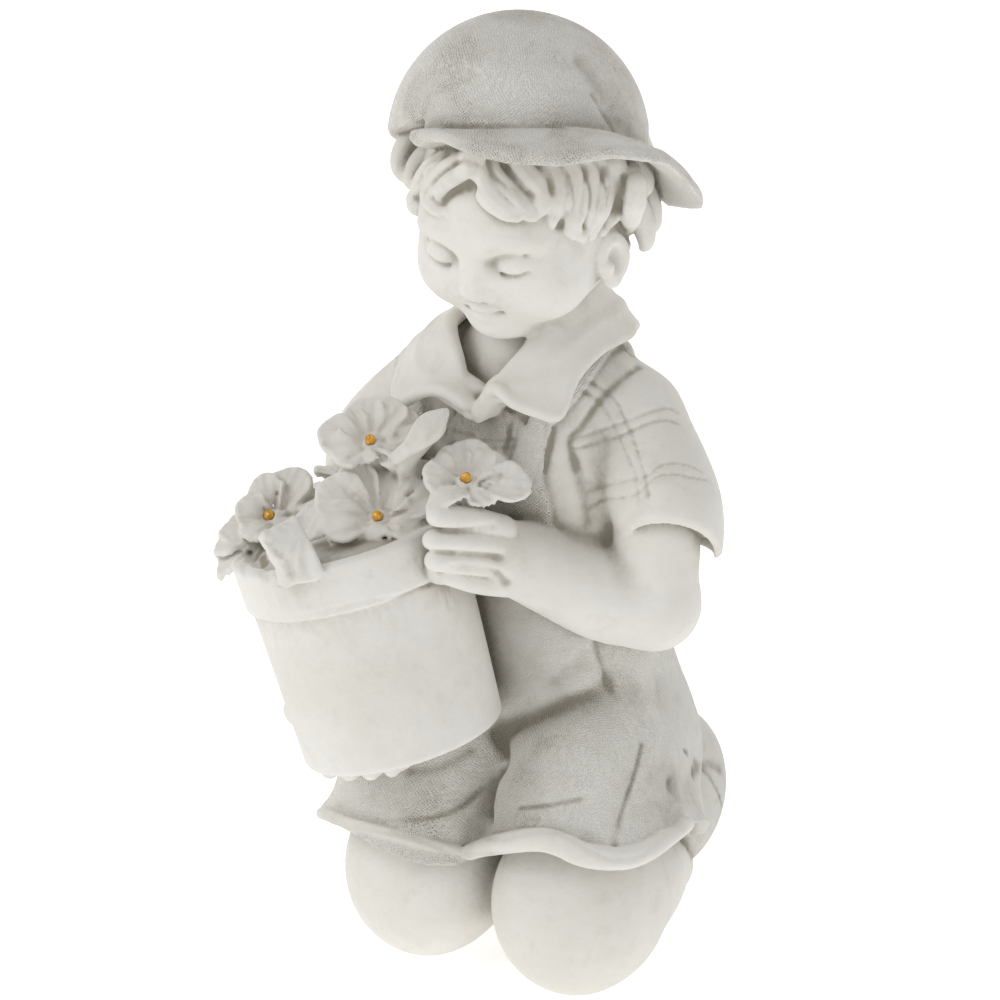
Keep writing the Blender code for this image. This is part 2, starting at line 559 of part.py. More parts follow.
def bouquet(clay):
    lines = []
    for index, petals in PETALS:
        middle, facing, _, _ = FLOWERS[index]
        middle, facing = np.array(middle, float), unit(facing)
        clay.add(tube([middle - facing * 18, middle - facing * 4], [11, 8]), 4)
        start = aim_back(middle + facing * 2)
        for u, v, forward, width, arch in petals:
            tip = aim(u, v, middle, forward)
            petal(clay, middle - facing * 4.5 + unit(tip - middle) * 2.5, tip, facing + BACK * 0.5, width, arch, 0.03)
            way = np.array([u, v]) - start
            across = np.array([-way[1], way[0]]) / np.linalg.norm(way)
            for side in (-0.3, 0.04, 0.36):
                end = way * (0.86 - 0.25 * abs(side)) + across * side * width * 1.6
                lines.append([start + way * 0.16 + across * side * 8, start + end * 0.55 + across * side * 3,
                              start + end])
    # A flower seen from its side hangs over the lip at the figure's right.
    root = np.array([-90.0, -110.0, 219.0])
    clay.add(tube([(-74, -98, 216), root], [14, 9]), 4)
    for u, v, forward, width in ((219, 533, -3, 18), (214, 553, 1, 19), (218, 578, 3, 18), (240, 584, 5, 18)):
        petal(clay, root, aim(u, v, root, forward), (-0.3, -0.5, 0.8), width, 0.16, 0.04)
        lines.append([(250, 552), ((250 + u) / 2, (552 + v) / 2 - 1), (u + 6, v - 1)])
    # Leaves: one over the lip in front, one at the upper left, one rolled beside the bib, one by the fingers.
    lip = clay.seen("front", [(284, 572), (286, 574)])[0][0]
    petal(clay, aim(298, 524, lip, -3), aim(284, 586, lip, 4.5), BACK + UP * 0.4, 34, 0.2, 0.05, LEAF + 0.6, 5)
    lines += [[(290, 536), (270, 556), (262, 575)], [(292, 538), (280, 560), (276, 576)],
              [(298, 538), (294, 560), (294, 580)], [(304, 536), (308, 552), (310, 568)],
              [(286, 534), (266, 546), (255, 560)]]
    petal(clay, aim(345, 474, (-55, -95, 252), 3), aim(271, 451, (-72, -104, 255), 3), UP * 0.8 + BACK * 0.6, 19, 0.2,
          0.04)
    lines += [[(330, 468), (305, 459), (282, 457)], [(334, 474), (305, 466), (286, 464)]]
    roll = np.array([-13.0, -97.0, 279.0])
    clay.add(tube([(-30, -84, 256), aim(404, 460, roll, -3), aim(424, 438, roll, -3)], [8, 6, 5]), 3)
    petal(clay, aim(394, 464, roll), aim(446, 410, roll, 2), BACK + UP * 0.4 + RIGHT * 0.4, 20, 0.24, 0.03,
          LEAF + 0.9, 4)
    lines += [[(402, 456), (416, 438), (432, 418)], [(410, 459), (424, 444), (442, 424)], [(408, 447), (417, 452)]]
    petal(clay, aim(482, 498, FLOWERS[1][0], 7), aim(426, 513, FLOWERS[1][0], 13), UP + BACK * 0.5, 16, 0.24)
    for base, tip, normal in (((-30, -84, 254), (-66, -66, 256), (-0.2, 0.2, 0.9)),
                              ((-60, -84, 242), (-88, -68, 238), (-0.3, 0.2, 0.9)),
                              ((-20, -76, 258), (-14, -50, 256), (0.1, 0.3, 0.9)),
                              ((-46, -70, 246), (-54, -44, 234), (-0.2, 0.6, 0.8)),
                              ((-72, -76, 232), (-94, -60, 220), (-0.4, 0.6, 0.8)),
                              ((4, -84, 252), (10, -62, 250), (0.2, 0.4, 0.9))):
        petal(clay, base, tip, normal, 24, 0.2)
    if clay.cell < 2.1:
        for line in lines:
            clay.draw("front", line, 0.85, 0.95, 4)
    for index, _ in PETALS:
        middle, facing, _, _ = FLOWERS[index]
        clay.add(ball(np.array(middle) + unit(facing) * 0.6, 4.2), 1)


def head_axes():
    f = np.array([math.sin(HEAD_TURN) * math.cos(HEAD_PITCH), -math.cos(HEAD_TURN) * math.cos(HEAD_PITCH),
                  -math.sin(HEAD_PITCH)])
    side = unit(np.cross(f, (0, 0, 1))) * -1
    up = np.cross(side, f) * -1
    up = up if up[2] > 0 else -up
    return (lambda x, y, z: HEAD + x * side + y * f + z * up), np.array([side, f, up])


def head(clay):
    """Skull, cheeks, chin, nose, lips and eyes, turned and bowed together."""
    at, axes = head_axes()
    clay.add(ball(at(0, -6, 10), (48, 55, 51), axes), 4)
    clay.add(ball(at(0, 12, -12), (41, 36, 31), axes), 12)
    clay.add(ball(at(0, 35, -33), (14, 12, 10), axes), 9)
    for s in (-1, 1):
        clay.add(ball(at(23 * s, 28, -15), (17, 14, 16), axes), 10)
        clay.cut(ball(at(17.5 * s, 52, 4), (11.5, 8.5, 7), axes), 6)
        clay.add(ball(at(17.5 * s, 38.5, 2), (10, 8, 7), axes), 2)
        clay.add(tube([at(7 * s, 44.5, 12), at(18 * s, 44, 16), at(29 * s, 36.5, 12)], [2.4, 2.8, 1.8]), 8)
    clay.add(tube([at(0, 44, 10), at(0, 46.5, -2), at(0, 49.5, -10.5)], [3.6, 4.1, 5.0]), 5)
    for s in (-1, 1):
        clay.add(ball(at(5 * s, 46.5, -13), (3.7, 4.6, 3.5), axes), 2.5)
        clay.cut(ball(at(2.8 * s, 49.5, -16.6), (1.6, 2.2, 1.2), axes), 1)
        # The lowered lid: its fold above and its edge below.
        for rise, drop, width, depth in ((5.6, 2.0, 1.2, 0.9), (-2.4, -2.0, 0.9, 1.5)):
            points = []
            for dx in (-8, -4, 0, 4, 8):
                dz = rise + drop * (1 - (dx / 8) ** 2)
                points.append(at((17.5 + dx) * s, 38.5 + 8 * math.sqrt(max(0.1, 1 - (dx / 10) ** 2 - (dz / 8.2) ** 2)),
                                 2 + dz))
            clay.stroke(points, width, depth)
    clay.add(tube([at(-8.5, 43.5, -23.2), at(-3, 47.2, -21.6), at(0, 46.8, -22), at(3, 47.2, -21.6),
                   at(8.5, 43.5, -23.2)], [1, 2.1, 1.8, 2.1, 1]), 1.5)
    clay.add(tube([at(-7, 44, -25.8), at(0, 46.6, -26.8), at(7, 44, -25.8)], [1, 2.5, 1]), 1.5)
    clay.stroke([at(-9.5, 44.5, -23.4), at(-4, 48.4, -24), at(0, 49, -23.9), at(4, 48.4, -24), at(9.5, 44.5, -23.4)],
                1.0, 1.5)
    return at


def lock(clay, at, points, width):
    """A leaf-shaped lock of hair that lies on the head."""
    rows = [at(*p) for p in points]
    normal = unit(sum(rows) / len(rows) - HEAD)
    radii = [width * s for s in (0.75, 1.0, 0.85, 0.25)[: len(rows)]]
    clay.add(tube(rows, radii, flat=(normal, 1.5)), 0.8)


def tress(clay, points, radii, flat=1.1):
    """A lock of hair laid on the head along a line of the picture, with strands pressed into it."""
    clay.cord("front", points, radii, 0.6, 0.12, flat)
    rows = path(points, 4)
    way = np.gradient(rows, axis=0)
    across = np.column_stack([-way[:, 1], way[:, 0]]) / np.maximum(np.linalg.norm(way, axis=1), 1e-6)[:, None]
    wide = np.interp(np.linspace(0, 1, len(rows)), np.linspace(0, 1, len(radii)), radii)[:, None] * 2.2
    for side in (-0.35, 0.2):
        clay.draw("front", (rows + across * wide * side)[1:-1], 0.9, 1.1, 1)


def hair(clay, at):
    """Locks from under the cap: thick leaf shapes swept across the brow, plainer ones at the back."""
    clay.add(ball(at(0, -14, 12), (48, 50, 50)), 3)
    for ring, (z0, z1, reach) in enumerate(((34, 2, 50), (14, -22, 48))):
        for i in range(11):
            a = math.radians(88 + i * 18.2 + ring * 9)
            c, s = math.sin(a), math.cos(a)
            x, y = 48 * c, -12 + reach * s
            lock(clay, at, [(x * 0.96, y * 0.96, z0), (x * 1.02, y * 1.02, (z0 + z1) / 2),
                            (x + 3, y * 0.98, z1 + 6), (x * 0.9 + 5, y * 0.9, z1)], 7.5)
    for points, radii in (
        ([(426, 136), (408, 152), (400, 168), (404, 182)], (5, 6, 5, 2)),
        ([(440, 143), (420, 158), (407, 172), (410, 189)], (5, 6, 5, 2)),
        ([(530, 156), (545, 176), (552, 196), (545, 213)], (4, 6, 5, 2)),
        ([(598, 165), (606, 190), (598, 215), (589, 233)], (5, 6, 5, 2)),
        ([(618, 172), (622, 195), (612, 215), (600, 228)], (5, 6, 4.5, 1.5)),
        ([(632, 180), (633, 203), (622, 224)], (5, 5, 2)),
        ([(644, 190), (641, 218), (634, 240), (622, 260)], (6, 6.5, 5.5, 2)),
        ([(465, 150), (440, 163), (424, 180), (417, 195)], (5, 6.5, 6, 2)),
        ([(512, 160), (526, 177), (538, 192), (538, 206), (529, 217)], (4, 5.5, 5, 4, 1.5)),
        ([(557, 160), (569, 180), (573, 202), (571, 222), (584, 238)], (5, 6.5, 6, 5, 1.5)),
        ([(578, 165), (590, 187), (590, 208), (582, 232)], (4, 5.5, 5, 1.5)),
        ([(486, 156), (472, 174), (456, 190), (446, 203)], (4, 5.5, 4.5, 1.5)),
        ([(484, 158), (485, 180), (499, 197), (516, 209), (532, 217)], (5, 7, 7, 6, 2)),
        ([(474, 156), (455, 172), (436, 187), (429, 201), (440, 212), (460, 211)], (5, 7, 7, 5.5, 4.5, 1.5)),
    ):
        tress(clay, points, radii)


def ears(clay):
    """Each ear is a tilted cup with a raised rim."""
    at, (side, f, up) = head_axes()
    for s in (-1, 1):
        ear = axes_of(s * side * 0.9 + f * 0.25, up)
        clay.add(ball(at(46.5 * s, 6, -13), (12.5, 9.5, 5), ear), 2.5)
        clay.cut(ball(at(51 * s, 8.5, -12), (8, 5.5, 4.2), ear), 1.5)
        clay.add(ball(at(47.5 * s, 12, -14), (3.2, 2.5, 3), ear), 1.5)
        clay.add(ball(at(46 * s, 9, -22.5), (4.5, 4.5, 4.2), ear), 2)


def cap(clay):
    axes = axes_of(DOME_AXIS, PEAK_WAY)
    dome = inside_block(DOME_CENTRE - 75, DOME_CENTRE + 75, clay.cell)
    dome.add(ball(DOME_CENTRE, (59, 59, 59), axes), 0, 16)
    dome.cut(cone(DOME_CENTRE - axes[2] * 80, DOME_CENTRE + axes[2] * 3, 100, 100, 2), 4)
    clay.join(dome, 1.5)
    angles, drops = np.array(PEAK_EDGE, float).T

    def outline(u, v):
        a, b = (u - 16) / 80, v / 62
        return np.maximum((np.sqrt(a * a + b * b) - 1) * 62, -6 - u)

    def height(u, v):
        r = np.maximum(np.sqrt(u * u + v * v), 1)
        c, s = u / r, v / r
        p, q = (c / 80) ** 2 + (s / 62) ** 2, 16 * c / 80**2
        edge = (q + np.sqrt(q * q + p * 0.96)) / p
        share = np.clip((r - 56) / np.maximum(edge - 56, 4), 0, 1.15)
        return -5 + (np.interp(np.degrees(np.arctan2(s, c)), angles, drops) + 5) * share**1.1

    clay.add(plate(DOME_CENTRE, axes, 112, outline, height, lambda u, v: 3.3 + 0 * u, 3), 2)


def collar_and_bib(clay):
    """The open collar over the shirt, the bib of the overalls and its two straps."""
    base = clay.copy()
    clip = tube([(0, -64, 150), (0, -64, 262)], [52, 27], flat=((0, 1, 0), 0.8))
    clay.cloth(base, 2.2, clip, 1)
    for points in (
        [(19, -66, 248), (27, -66, 280), (33, -50, 302), (32, -20, 316), (26, 4, 302), (18, 18, 276),
         (13, 24, 240), (12, 29, 205), (14, 36, 168)],
        [(-40, -64, 248), (-52, -58, 270), (-60, -46, 290), (-56, -20, 303), (-38, 4, 298), (-20, 18, 276),
         (-13, 24, 240), (-12, 29, 205), (-14, 36, 168)],
    ):
        rows = path(points, 3)
        reach = tube(rows, 12, steps=1)
        clip = (reach[0] - 6, reach[1] + 6, tube(rows, 9.5, steps=1)[2])
        clay.cloth(base, 2.4, clip, 1)
    # The collar rolls over along its upper row of points and ends at the lower row, which curls out.
    for row in path([upper + lower for upper, lower in COLLAR], 7):
        a, b = row[:3], row[3:]
        m = (a + b) / 2
        clay.add(tube([a - (0, 0, 3), a, m + (0, 0, 0.8), b + (0, 0, 0.8)], [2.8, 2.8, 2.6, 2.6], steps=2), 1.6)
        fill = min(1.0, np.linalg.norm(a - b) / 20)
        clay.add(tube([m + (0, 0, 4 * fill - 5), m * 0.8 + np.array((0, -28, 290)) * 0.2], [4 * fill + 0.5, 6],
                      steps=1), 2)


def dressing(clay):
    """The main creases of the clothes and the crown."""
    for points, width, depth in (
        ([(504, 733), (530, 718), (551, 707), (580, 695), (602, 686), (619, 674)], 4.2, 4.0),
        ([(552, 690), (570, 676), (587, 662)], 3.5, 3.0),
        ([(666, 770), (668, 796), (662, 820)], 5.0, 2.6),
        ([(582, 62), (600, 88), (612, 112), (630, 132)], 6.0, 2.0),
    ):
        clay.draw("front", points, width, depth)


def build_casting(cell):
    clay = Clay(cell)
    torso(clay)
    collar_and_bib(clay)
    arms(clay)
    shorts(clay)
    knees_and_feet(clay)
    at = head(clay)
    hair(clay, at)
    ears(clay)
    cap(clay)
    pot(clay)
    bouquet(clay)
    dressing(clay)
    return clay


def shared_edges(points, faces):
    """Middles of the edges that more than two faces share."""
    sides = faces.shape[1]
    edges = np.sort(np.vstack([faces[:, [i, (i + 1) % sides]] for i in range(sides)]), axis=1)
    pairs, uses = np.unique(edges, axis=0, return_counts=True)
    return points[pairs[uses > 2]].mean(axis=1)


def numbers(items, key, kind, width):
    out = np.zeros(len(items) * width, kind)
    items.foreach_get(key, out)
    return out.reshape(-1, width)


def casting_mesh(clay, name):
    """The outer surface in few facets. Where two walls would share an edge, the clay between them is filled."""
    for attempt in range(10):
        grid = openvdb.FloatGrid()
        grid.background = 3.0
        grid.copyFromArray(np.ascontiguousarray(clay.field))
        points, quads = outer_skin(*grid.convertToQuads(isovalue=0.0))
        points = (points + clay.start) * clay.cell
        touching = shared_edges(points, quads)
        if not len(touching):
            mesh = bpy.data.meshes.new(name)
            mesh.from_pydata(points.tolist(), [], quads[:, ::-1].tolist())
            block = bpy.data.objects.new(name, mesh)
            bpy.context.scene.collection.objects.link(block)
            use(block, "Facets", "DECIMATE", ratio=CASTING_TRIANGLES / (2 * len(quads)))
            bpy.context.view_layer.update()
            fewer = bpy.data.meshes.new_from_object(block.evaluated_get(bpy.context.evaluated_depsgraph_get()))
            bpy.data.objects.remove(block)
            points = numbers(fewer.vertices, "co", float, 3)
            fewer.calc_loop_triangles()
            touching = shared_edges(points, numbers(fewer.loop_triangles, "vertices", int, 3))
        if not len(touching):
            fewer.vertices.foreach_set("co", ((points - ORIGIN) * SHARE).ravel())
            fewer.name = name
            return fewer
        for place in touching:
            clay.add(ball(place, 3.2), 1.5, 4)
    raise ValueError("walls of the casting still touch")


def empty_scene():
    for old in list(bpy.data.objects):
        bpy.data.objects.remove(old)
    for old in list(bpy.data.collections):
        bpy.data.collections.remove(old)
    groups = []
    for name in ("Boy with flowers statue", "Cutters"):
        group = bpy.data.collections.new(name)
        bpy.context.scene.collection.children.link(group)
        groups.append(group)
    return groups


def material(name, colour, roughness):
    made = bpy.data.materials.new(name)
    made.use_nodes = True
    shader = made.node_tree.nodes["Principled BSDF"]
    shader.inputs["Base Color"].default_value = (*colour, 1)
    shader.inputs["Roughness"].default_value = roughness
    return made


def use(obj, modifier, kind, **values):
    made = obj.modifiers.new(modifier, kind)
    for key, value in values.items():
        setattr(made, key, value)
    return made


def move(obj, group):
    for holder in list(obj.users_collection):
        holder.objects.unlink(obj)
    group.objects.link(obj)


def main():
    group, cutters = empty_scene()
    clay = build_casting(CELL)
    casting = bpy.data.objects.new("boy_with_flower_pot", casting_mesh(clay, "boy_with_flower_pot"))
    group.objects.link(casting)
    casting.data.materials.append(material("Cast stone", (0.78, 0.76, 0.71), 0.8))
    # The underside is cut level, so the statue stands on its knees and feet.
    bpy.ops.mesh.primitive_cube_add(size=1, location=(0, 0, -0.05))
    ground = bpy.context.object
    ground.name = "ground_cutter"
    ground.scale = (1, 1, 0.1)
    cut = [ground]
    use(casting, "Level underside", "BOOLEAN", object=ground, operation="DIFFERENCE", solver="EXACT")
    amber = material("Amber bead", (0.85, 0.45, 0.04), 0.15)
    for i, (middle, facing, _, _) in enumerate(FLOWERS):
        place = tuple((np.array(middle) + unit(facing) * 4.0 - ORIGIN) * SHARE)
        bpy.ops.mesh.primitive_uv_sphere_add(segments=12, ring_count=8, radius=BEAD_RADIUS, location=place)
        bead = bpy.context.object
        bead.name = bead.data.name = f"flower_bead_{i + 1}"
        bead.data.shade_smooth()
        bead.data.materials.append(amber)
        bpy.ops.mesh.primitive_uv_sphere_add(segments=12, ring_count=7, radius=BEAD_RADIUS + BEAD_CLEARANCE,
                                             location=place)
        socket = bpy.context.object
        socket.name = f"socket_cutter_{i + 1}"
        cut.append(socket)
        use(casting, f"Socket {i + 1}", "BOOLEAN", object=socket, operation="DIFFERENCE", solver="EXACT")
        move(bead, group)
    for obj in cut:
        move(obj, cutters)
        obj.hide_render = True
        obj.display_type = "WIRE"


main()
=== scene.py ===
"""Boy with flowers garden statue: the fine casting, its amber beads, and a plain studio.

The casting is modelled as a block of clay: a grid of cells that holds the distance to the surface. Every form adds
to it or cuts from it, and strokes are pressed in where a line of sight meets it. Lengths of the figure are in
shares, 465 of which make the whole height. X is the figure's left, -Y its front and +Z is up.
"""

import math

import bpy
import numpy as np
import openvdb
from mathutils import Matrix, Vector


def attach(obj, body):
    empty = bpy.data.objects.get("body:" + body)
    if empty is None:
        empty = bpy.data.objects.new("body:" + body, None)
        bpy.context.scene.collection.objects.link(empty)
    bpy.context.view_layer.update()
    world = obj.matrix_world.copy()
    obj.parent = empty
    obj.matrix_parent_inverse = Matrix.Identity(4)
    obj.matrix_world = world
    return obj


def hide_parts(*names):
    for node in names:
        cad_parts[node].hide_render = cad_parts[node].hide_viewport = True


bl_info = {
    "name": "Boy with flowers statue",
    "version": (1, 0, 0),
    "blender": (4, 5, 0),
    "location": "View3D > Sidebar > Statue",
    "description": "Models and finishes a cast stone garden statue of a kneeling boy with a flower pot",
    "category": "Object",
}

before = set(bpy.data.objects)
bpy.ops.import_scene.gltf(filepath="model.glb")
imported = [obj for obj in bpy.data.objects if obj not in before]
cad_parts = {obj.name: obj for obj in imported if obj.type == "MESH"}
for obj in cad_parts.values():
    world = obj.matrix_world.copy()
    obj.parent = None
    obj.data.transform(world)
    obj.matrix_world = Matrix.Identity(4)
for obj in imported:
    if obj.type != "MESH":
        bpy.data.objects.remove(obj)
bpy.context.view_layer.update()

# Metres in one share, the distance given to cells that nothing comes near, the point in shares that stands at the
# frame's origin, and the two corners of the block of clay.
SHARE = 0.46 / 465
FAR = 14.0
ORIGIN = np.array([-6.2, -32.7, 0.0])
LOW, HIGH = (-124, -160, -5), (108, 126, 468)

# Finishes of the stone, each with its share of weave, of brightness and of grime and painted shade.
SKIN, SHIRT, CANVAS, CAP, HAIR, POT, FLOWER = range(7)

# The viewpoint: a long way off, 35 degrees to the figure's left and 20 degrees up. A pixel is the length in shares
# that one unit of the picture covers at the figure, MIDDLE is the picture's centre, and the base is where the middle
# of the figure's underside shows in it.
AZIMUTH, ELEVATION, DISTANCE, PIXEL = math.radians(35), math.radians(20), 2000.0, 0.49
MIDDLE, BASE = 500, (563, 929)
RIGHT = np.array([math.cos(AZIMUTH), math.sin(AZIMUTH), 0.0])
UP = np.array([-math.sin(AZIMUTH) * math.sin(ELEVATION), math.cos(AZIMUTH) * math.sin(ELEVATION),
               math.cos(ELEVATION)])
BACK = np.array([math.sin(AZIMUTH) * math.cos(ELEVATION), -math.cos(AZIMUTH) * math.cos(ELEVATION),
                 math.sin(ELEVATION)])
AIM = RIGHT * (MIDDLE - BASE[0]) * PIXEL + UP * (BASE[1] - MIDDLE) * PIXEL
EYE = AIM + BACK * DISTANCE
FOCUS = DISTANCE / PIXEL

# The flower pot: a leaning tapered bucket with a band under its lip.
POT_BASE = np.array([-24.7, -95.7, 129.7])
POT_AXIS = np.array([-0.265, -0.08, 0.961])
POT_BODY, POT_BAND = 79.0, 24.0
POT_RADII = (47.3, 50.5, 54.0)

# The cap: a dome and a bent peak turned to the figure's left.
DOME_CENTRE = np.array([-1.0, -38.0, 406.0])
DOME_AXIS = np.array([-0.24, 0.34, 0.91])
PEAK_WAY = np.array([0.961, -0.226, 0.155])

HEAD = np.array([4.0, -40.0, 375.0])
HEAD_PITCH, HEAD_TURN = math.radians(19), math.radians(4)

# Each flower: its middle, the way it faces, its radius, and the turn of its first petal.
FLOWERS = (
    ((-38.9, -99.3, 271.6), (0.10, -0.50, 0.86), 24, 0.35),
    ((9.9, -95.3, 261.8), (0.30, -0.25, 0.92), 27, 0.1),
    ((-26.1, -111.3, 241.6), (0.12, -0.62, 0.78), 27, 0.7),
    ((-88.2, -109.1, 228.1), (-0.35, -0.62, 0.70), 21, 0.2),
)

# The collar: pairs of a point where it rolls over and the point of its edge below, from the front round the neck.
COLLAR = (
    ((2, -74, 290), (3, -76, 288)), ((9, -72, 299), (15, -80, 303)), ((14, -68, 307), (25, -79, 298)),
    ((17, -62, 313), (36, -74, 294)), ((21, -55, 320), (42, -68, 293)), ((26, -42, 329), (41, -54, 306)),
    ((26, -30, 331), (42, -36, 314)), ((25, -20, 332), (41, -13, 315)), ((22, -6, 333), (38, -3, 316)),
    ((13, 4, 333), (28, 12, 312)), ((0, 8, 332), (2, 20, 310)), ((-17, 2, 330), (-28, 14, 308)),
    ((-30, -12, 326), (-48, -8, 303)), ((-35, -28, 322), (-60, -28, 301)), ((-34, -44, 319), (-58, -48, 294)),
    ((-28, -54, 316), (-50, -66, 286)), ((-19, -62, 309), (-39, -73, 285)), ((-12, -67, 300), (-26, -78, 293)),
    ((-5, -71, 293), (-14, -79, 296)), ((-1, -73, 290), (-3, -77, 291)),
)

# Hem heights round each leg by the angle from its front, turning to the figure's left.
HEM_LEFT = ((-180, 44), (-120, 50), (-90, 55), (-75, 61), (-60, 70), (-45, 78), (-30, 86), (-15, 92), (0, 93),
            (15, 89), (30, 85), (45, 85), (60, 87), (75, 87), (90, 80), (105, 68), (120, 56), (135, 48), (180, 44))

HEM_RIGHT = ((-180, 44), (-150, 46), (-120, 56), (-105, 62), (-90, 66), (-60, 66), (-45, 66), (-30, 71), (-15, 75),
             (0, 76), (15, 75), (30, 71), (45, 66), (60, 64), (75, 60), (90, 56), (120, 50), (180, 44))

# The peak's edge: how far it lies below the middle of the dome, by the angle from its middle line.
PEAK_EDGE = ((-90, -3), (-75, -6), (-60, -15), (-45, -21), (-30, -23), (-15, -19), (0, -20), (15, -30), (30, -33),
             (45, -30), (60, -26), (75, -12), (90, -5))

# Petals: the flower they belong to, then for each the way out in the picture to its tip, how far the tip comes
# forward, its width and how much it arches.
PETALS = (
    (0, ((318, 430, -1, 21, 0.12), (342, 415, -6, 18, 0.1), (362, 398, -10, 20, 0.08), (388, 396, -10, 26, 0.1),
         (418, 414, -6, 24, 0.12), (400, 452, 3, 20, 0.3), (366, 462, 9, 20, 0.42), (330, 454, 5, 22, 0.26))),
    (1, ((424, 468, 2, 22, 0.2), (446, 446, -5, 18, 0.1), (478, 440, -9, 22, 0.08), (505, 458, -6, 22, 0.12),
         (532, 486, 0, 22, 0.2), (496, 498, 7, 22, 0.4), (452, 500, 8, 22, 0.36))),
    (2, ((318, 486, -2, 26, 0.14), (344, 466, -7, 22, 0.1), (382, 460, -9, 24, 0.08), (412, 470, -7, 22, 0.1),
         (438, 490, -1, 22, 0.2), (420, 520, 6, 22, 0.34), (372, 540, 9, 25, 0.42), (320, 526, 4, 22, 0.26))),
    (3, ((236, 505, 0, 19, 0.2), (262, 474, -6, 20, 0.1), (300, 468, -6, 26, 0.12), (318, 492, -1, 22, 0.2),
         (300, 524, 5, 19, 0.32), (240, 534, 5, 22, 0.3))),
)

# Half the thickness of a petal, the height where the overalls end on the back, and the radius of a bead's socket
# and how far along the way its flower faces the socket lies.
LEAF = 1.5
WAIST = 196
SOCKET, SOCKET_RISE = 2.8, 4.0


def unit(v):
    """A direction of length one."""
    v = np.array(v, float)
    return v / np.linalg.norm(v)


def axes_of(normal, along):
    """Rows: along, across, normal, square to each other and right handed."""
    n = unit(normal)
    a = unit(np.array(along, float) - np.dot(along, n) * n)
    return np.array([a, np.cross(n, a), n])


def blend(a, b, k):
    """The smaller of two distances, rounded where they are within k of each other."""
    if k <= 0:
        return np.minimum(a, b)
    h = np.maximum(k - np.abs(a - b), 0) / k
    return np.minimum(a, b) - h * h * (k / 4)


def local(x, y, z, centre, axes):
    """Places as seen from a centre, along each of the axes."""
    x, y, z = x - float(centre[0]), y - float(centre[1]), z - float(centre[2])
    return [x * float(a[0]) + y * float(a[1]) + z * float(a[2]) for a in axes]


def path(points, steps=5):
    """A smooth curve through the rows given."""
    p = np.array(points, float)
    p = np.vstack([2 * p[0] - p[1], p, 2 * p[-1] - p[-2]])
    t = np.linspace(0, 1, steps, endpoint=False)[:, None]
    rows = [
        0.5 * (2 * b + (c - a) * t + (2 * a - 5 * b + 4 * c - d) * t**2 + (3 * b - a - 3 * c + d) * t**3)
        for a, b, c, d in zip(p, p[1:], p[2:], p[3:])
    ]
    return np.vstack(rows + [p[-2:-1]])


def sight(side, u, v):
    """Starts and directions of lines of sight: from the viewpoint in pixels, or square on in shares."""
    u, v = np.array(u, float)[:, None], np.array(v, float)[:, None]
    if side == "front":
        way = RIGHT * (u - MIDDLE) / FOCUS + UP * (MIDDLE - v) / FOCUS - BACK
        return np.broadcast_to(EYE, (len(u), 3)), way
    o = 0 * u
    start, along = {
        "back": (np.hstack([u, o + DISTANCE, v]), (0, -1, 0)),
        "left": (np.hstack([o + DISTANCE, u, v]), (-1, 0, 0)),
        "right": (np.hstack([o - DISTANCE, u, v]), (1, 0, 0)),
        "top": (np.hstack([u, v, o + DISTANCE]), (0, 0, -1)),
    }[side]
    return start, np.broadcast_to(np.array(along, float), (len(u), 3))


def aim(u, v, near, forward=0.0):
    """The point on a line of sight that lies as far back as the point near, or forward of that."""
    o, d = sight("front", [u], [v])
    return (o + d * (((np.array(near, float) - EYE) @ BACK + forward) / (d @ BACK))[:, None])[0]


def aim_back(point):
    """Where a point shows in the picture."""
    d = np.array(point, float) - EYE
    depth = -(d @ BACK)
    return np.array([MIDDLE + d @ RIGHT / depth * FOCUS, MIDDLE - d @ UP / depth * FOCUS])


def ball(centre, radii, axes=None):
    """A ball or egg. A shape is its lowest and highest corners and its distance at any place."""
    axes = np.eye(3) if axes is None else np.array(axes)
    c, r = np.array(centre, float), np.ones(3) * radii
    reach = np.sqrt(((axes * r[:, None]) ** 2).sum(axis=0))

    def distance(x, y, z):
        q = local(x, y, z, c, axes)
        k0 = np.maximum(np.sqrt(sum((v / s) ** 2 for v, s in zip(q, r.tolist()))), 1e-3)
        k1 = np.maximum(np.sqrt(sum((v / (s * s)) ** 2 for v, s in zip(q, r.tolist()))), 1e-3 / r.max())
        return k0 * (k0 - 1) / k1

    return c - reach, c + reach, distance


def segment(a, b, ra, rb, flat=None):
    """Distance to one tapered length of a limb."""
    ab = b - a
    length = max(float(ab @ ab), 1e-9)

    def distance(x, y, z):
        v = [x - float(a[0]), y - float(a[1]), z - float(a[2])]
        t = np.clip((v[0] * float(ab[0]) + v[1] * float(ab[1]) + v[2] * float(ab[2])) / length, 0, 1)
        v = [v[i] - t * float(ab[i]) for i in range(3)]
        if flat is None:
            return np.sqrt(v[0] ** 2 + v[1] ** 2 + v[2] ** 2) - (float(ra) + t * float(rb - ra))
        n, f = flat
        s = v[0] * float(n[0]) + v[1] * float(n[1]) + v[2] * float(n[2])
        side = v[0] ** 2 + v[1] ** 2 + v[2] ** 2 - s * s
        m = np.sqrt(np.maximum(side + (f * s) ** 2, 1e-6))
        slope = np.sqrt(np.maximum(side + (f * f * s) ** 2, 1e-6)) / m
        return (m - (float(ra) + t * float(rb - ra))) / slope

    return distance


